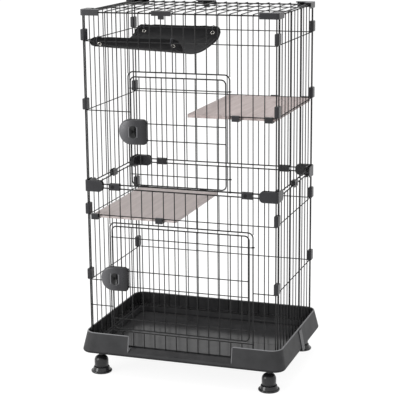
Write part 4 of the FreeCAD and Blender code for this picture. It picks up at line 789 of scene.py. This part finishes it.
for hole_x in (EYELET_LEFT, EYELET_RIGHT):
    for end in (-1, 1):
        tilt_y = flat_y * math.cos(lean) - flat_z * math.sin(lean) * end
        tilt_z = flat_z * math.cos(lean) + flat_y * math.sin(lean) * end
        points = np.stack([flat_x + hole_x, tilt_y + eyelet_y * end, tilt_z + eyelet_z], axis=-1)
        eyelet_name = f"hammock_eyelet_{len(eyelets) + 1}"
        rolled = grid_mesh(eyelet_name, points, closed_across=True, closed_along=True)
        piece = new_piece(eyelet_name, rolled, nickel, "cage")
        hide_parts("hammock_eyelets")
        eyelets.append(piece)

# Studio.
# A white sweep under a wide overhead softbox, with a smaller one near the left front, as for a catalogue
# picture. Seen directly or in a reflection, floor and world are white, and the floor keeps the shadow.
floor_mesh = bpy.data.meshes.new("studio_floor")
REACH = 30.0
floor_corners = [(-REACH, -REACH, 0), (REACH, -REACH, 0), (REACH, REACH, 0), (-REACH, REACH, 0)]
floor_mesh.from_pydata(floor_corners, [], [(0, 1, 2, 3)])
floor = bpy.data.objects.new("studio_floor", floor_mesh)
bpy.context.scene.collection.objects.link(floor)


def seen_directly(material):
    """1 for a ray from the camera, a reflection or a clear piece, 0 for light that falls on a surface."""
    ray = add(material, "ShaderNodeLightPath").outputs
    mirrored = add(
        material, "ShaderNodeMath", {0: ray["Is Camera Ray"], 1: ray["Is Glossy Ray"]}, operation="MAXIMUM",
    )
    return add(
        material, "ShaderNodeMath", {0: mirrored.outputs["Value"], 1: ray["Is Transmission Ray"]},
        operation="MAXIMUM",
    ).outputs["Value"]


paper, paper_shader = new_material("white_paper")
paper_shader.inputs["Base Color"].default_value = linear("#f2f2f2")
paper_shader.inputs["Roughness"].default_value = 0.9
PAPER_GLOW = 0.9
glow = add(paper, "ShaderNodeEmission", {"Color": (1, 1, 1, 1), "Strength": PAPER_GLOW})
shadow = add(paper, "ShaderNodeBsdfDiffuse", {"Color": linear("#7a7a7a")})
both = add(paper, "ShaderNodeAddShader", {0: shadow.outputs["BSDF"], 1: glow.outputs["Emission"]})
blend = add(paper, "ShaderNodeMixShader", {
    "Fac": seen_directly(paper), 1: paper_shader.outputs["BSDF"], 2: both.outputs["Shader"],
})
paper.node_tree.links.new(blend.outputs["Shader"], paper.node_tree.nodes["Material Output"].inputs["Surface"])
floor_mesh.materials.append(paper)

world = bpy.data.worlds.new("studio")
bpy.context.scene.world = world
world.use_nodes = True
sky = world.node_tree.nodes["Background"]
SKY_LIGHT, SKY_WHITE = 0.85, 1.0
sky_strength = add(world, "ShaderNodeMapRange", {
    "Value": seen_directly(world), "To Min": SKY_LIGHT, "To Max": SKY_WHITE,
})
sky.inputs["Color"].default_value = (1, 1, 1, 1)
world.node_tree.links.new(sky_strength.outputs["Result"], sky.inputs["Strength"])


def set_up(name, data, axes, spot):
    """Adds a lamp or a camera to the scene at a spot, with its right, upward and backward axes."""
    holder = bpy.data.objects.new(name, data)
    bpy.context.scene.collection.objects.link(holder)
    columns = np.stack(axes, axis=1)
    holder.matrix_world = Matrix([[*columns[row], spot[row]] for row in range(3)] + [[0, 0, 0, 1]])
    return holder


def softbox(name, spot, aim, size, power):
    """A round area lamp at a spot, turned to an aim, with its size in metres and its power in watts."""
    lamp = bpy.data.lights.new(name, "AREA")
    lamp.shape = "DISK"
    lamp.size = size
    lamp.energy = power
    back = (np.array(spot) - np.array(aim)) / np.linalg.norm(np.array(spot) - np.array(aim))
    across = np.cross((0, 1, 0.01), back)
    across = across / np.linalg.norm(across)
    set_up(name, lamp, (across, np.cross(back, across), back), spot)


softbox("overhead_softbox", spot=(-0.3, -0.3, 3.2), aim=(0, 0, 0.4), size=2.4, power=32)
softbox("left_softbox", spot=(-1.9, -1.9, 1.1), aim=(0, 0, 0.6), size=1.4, power=30)

# Camera.
# A long lens at the photograph's viewing angle, a little above the roof and to the right of the front.
# IMAGE and FOCUS are the picture's width and the focal length in pixels.
IMAGE, FOCUS = 400, 1315.3
AZIMUTH, RISE, ROLL = math.radians(18.876), math.radians(13.151), math.radians(-0.544)
STAND = np.array([1292.0, -3800.9, 1466.2]) * MM
ahead = np.array([-math.sin(AZIMUTH) * math.cos(RISE), math.cos(AZIMUTH) * math.cos(RISE), -math.sin(RISE)])
sideways = np.array([math.cos(AZIMUTH), math.sin(AZIMUTH), 0])
overhead = np.cross(sideways, ahead)
right = math.cos(ROLL) * sideways + math.sin(ROLL) * overhead
up = -math.sin(ROLL) * sideways + math.cos(ROLL) * overhead
lens = bpy.data.cameras.new("camera")
lens.sensor_width = 36
lens.lens = FOCUS / IMAGE * lens.sensor_width
lens.clip_end = 100
bpy.context.scene.camera = set_up("camera", lens, (right, up, -ahead), STAND)
bpy.context.scene.view_settings.view_transform = "Standard"
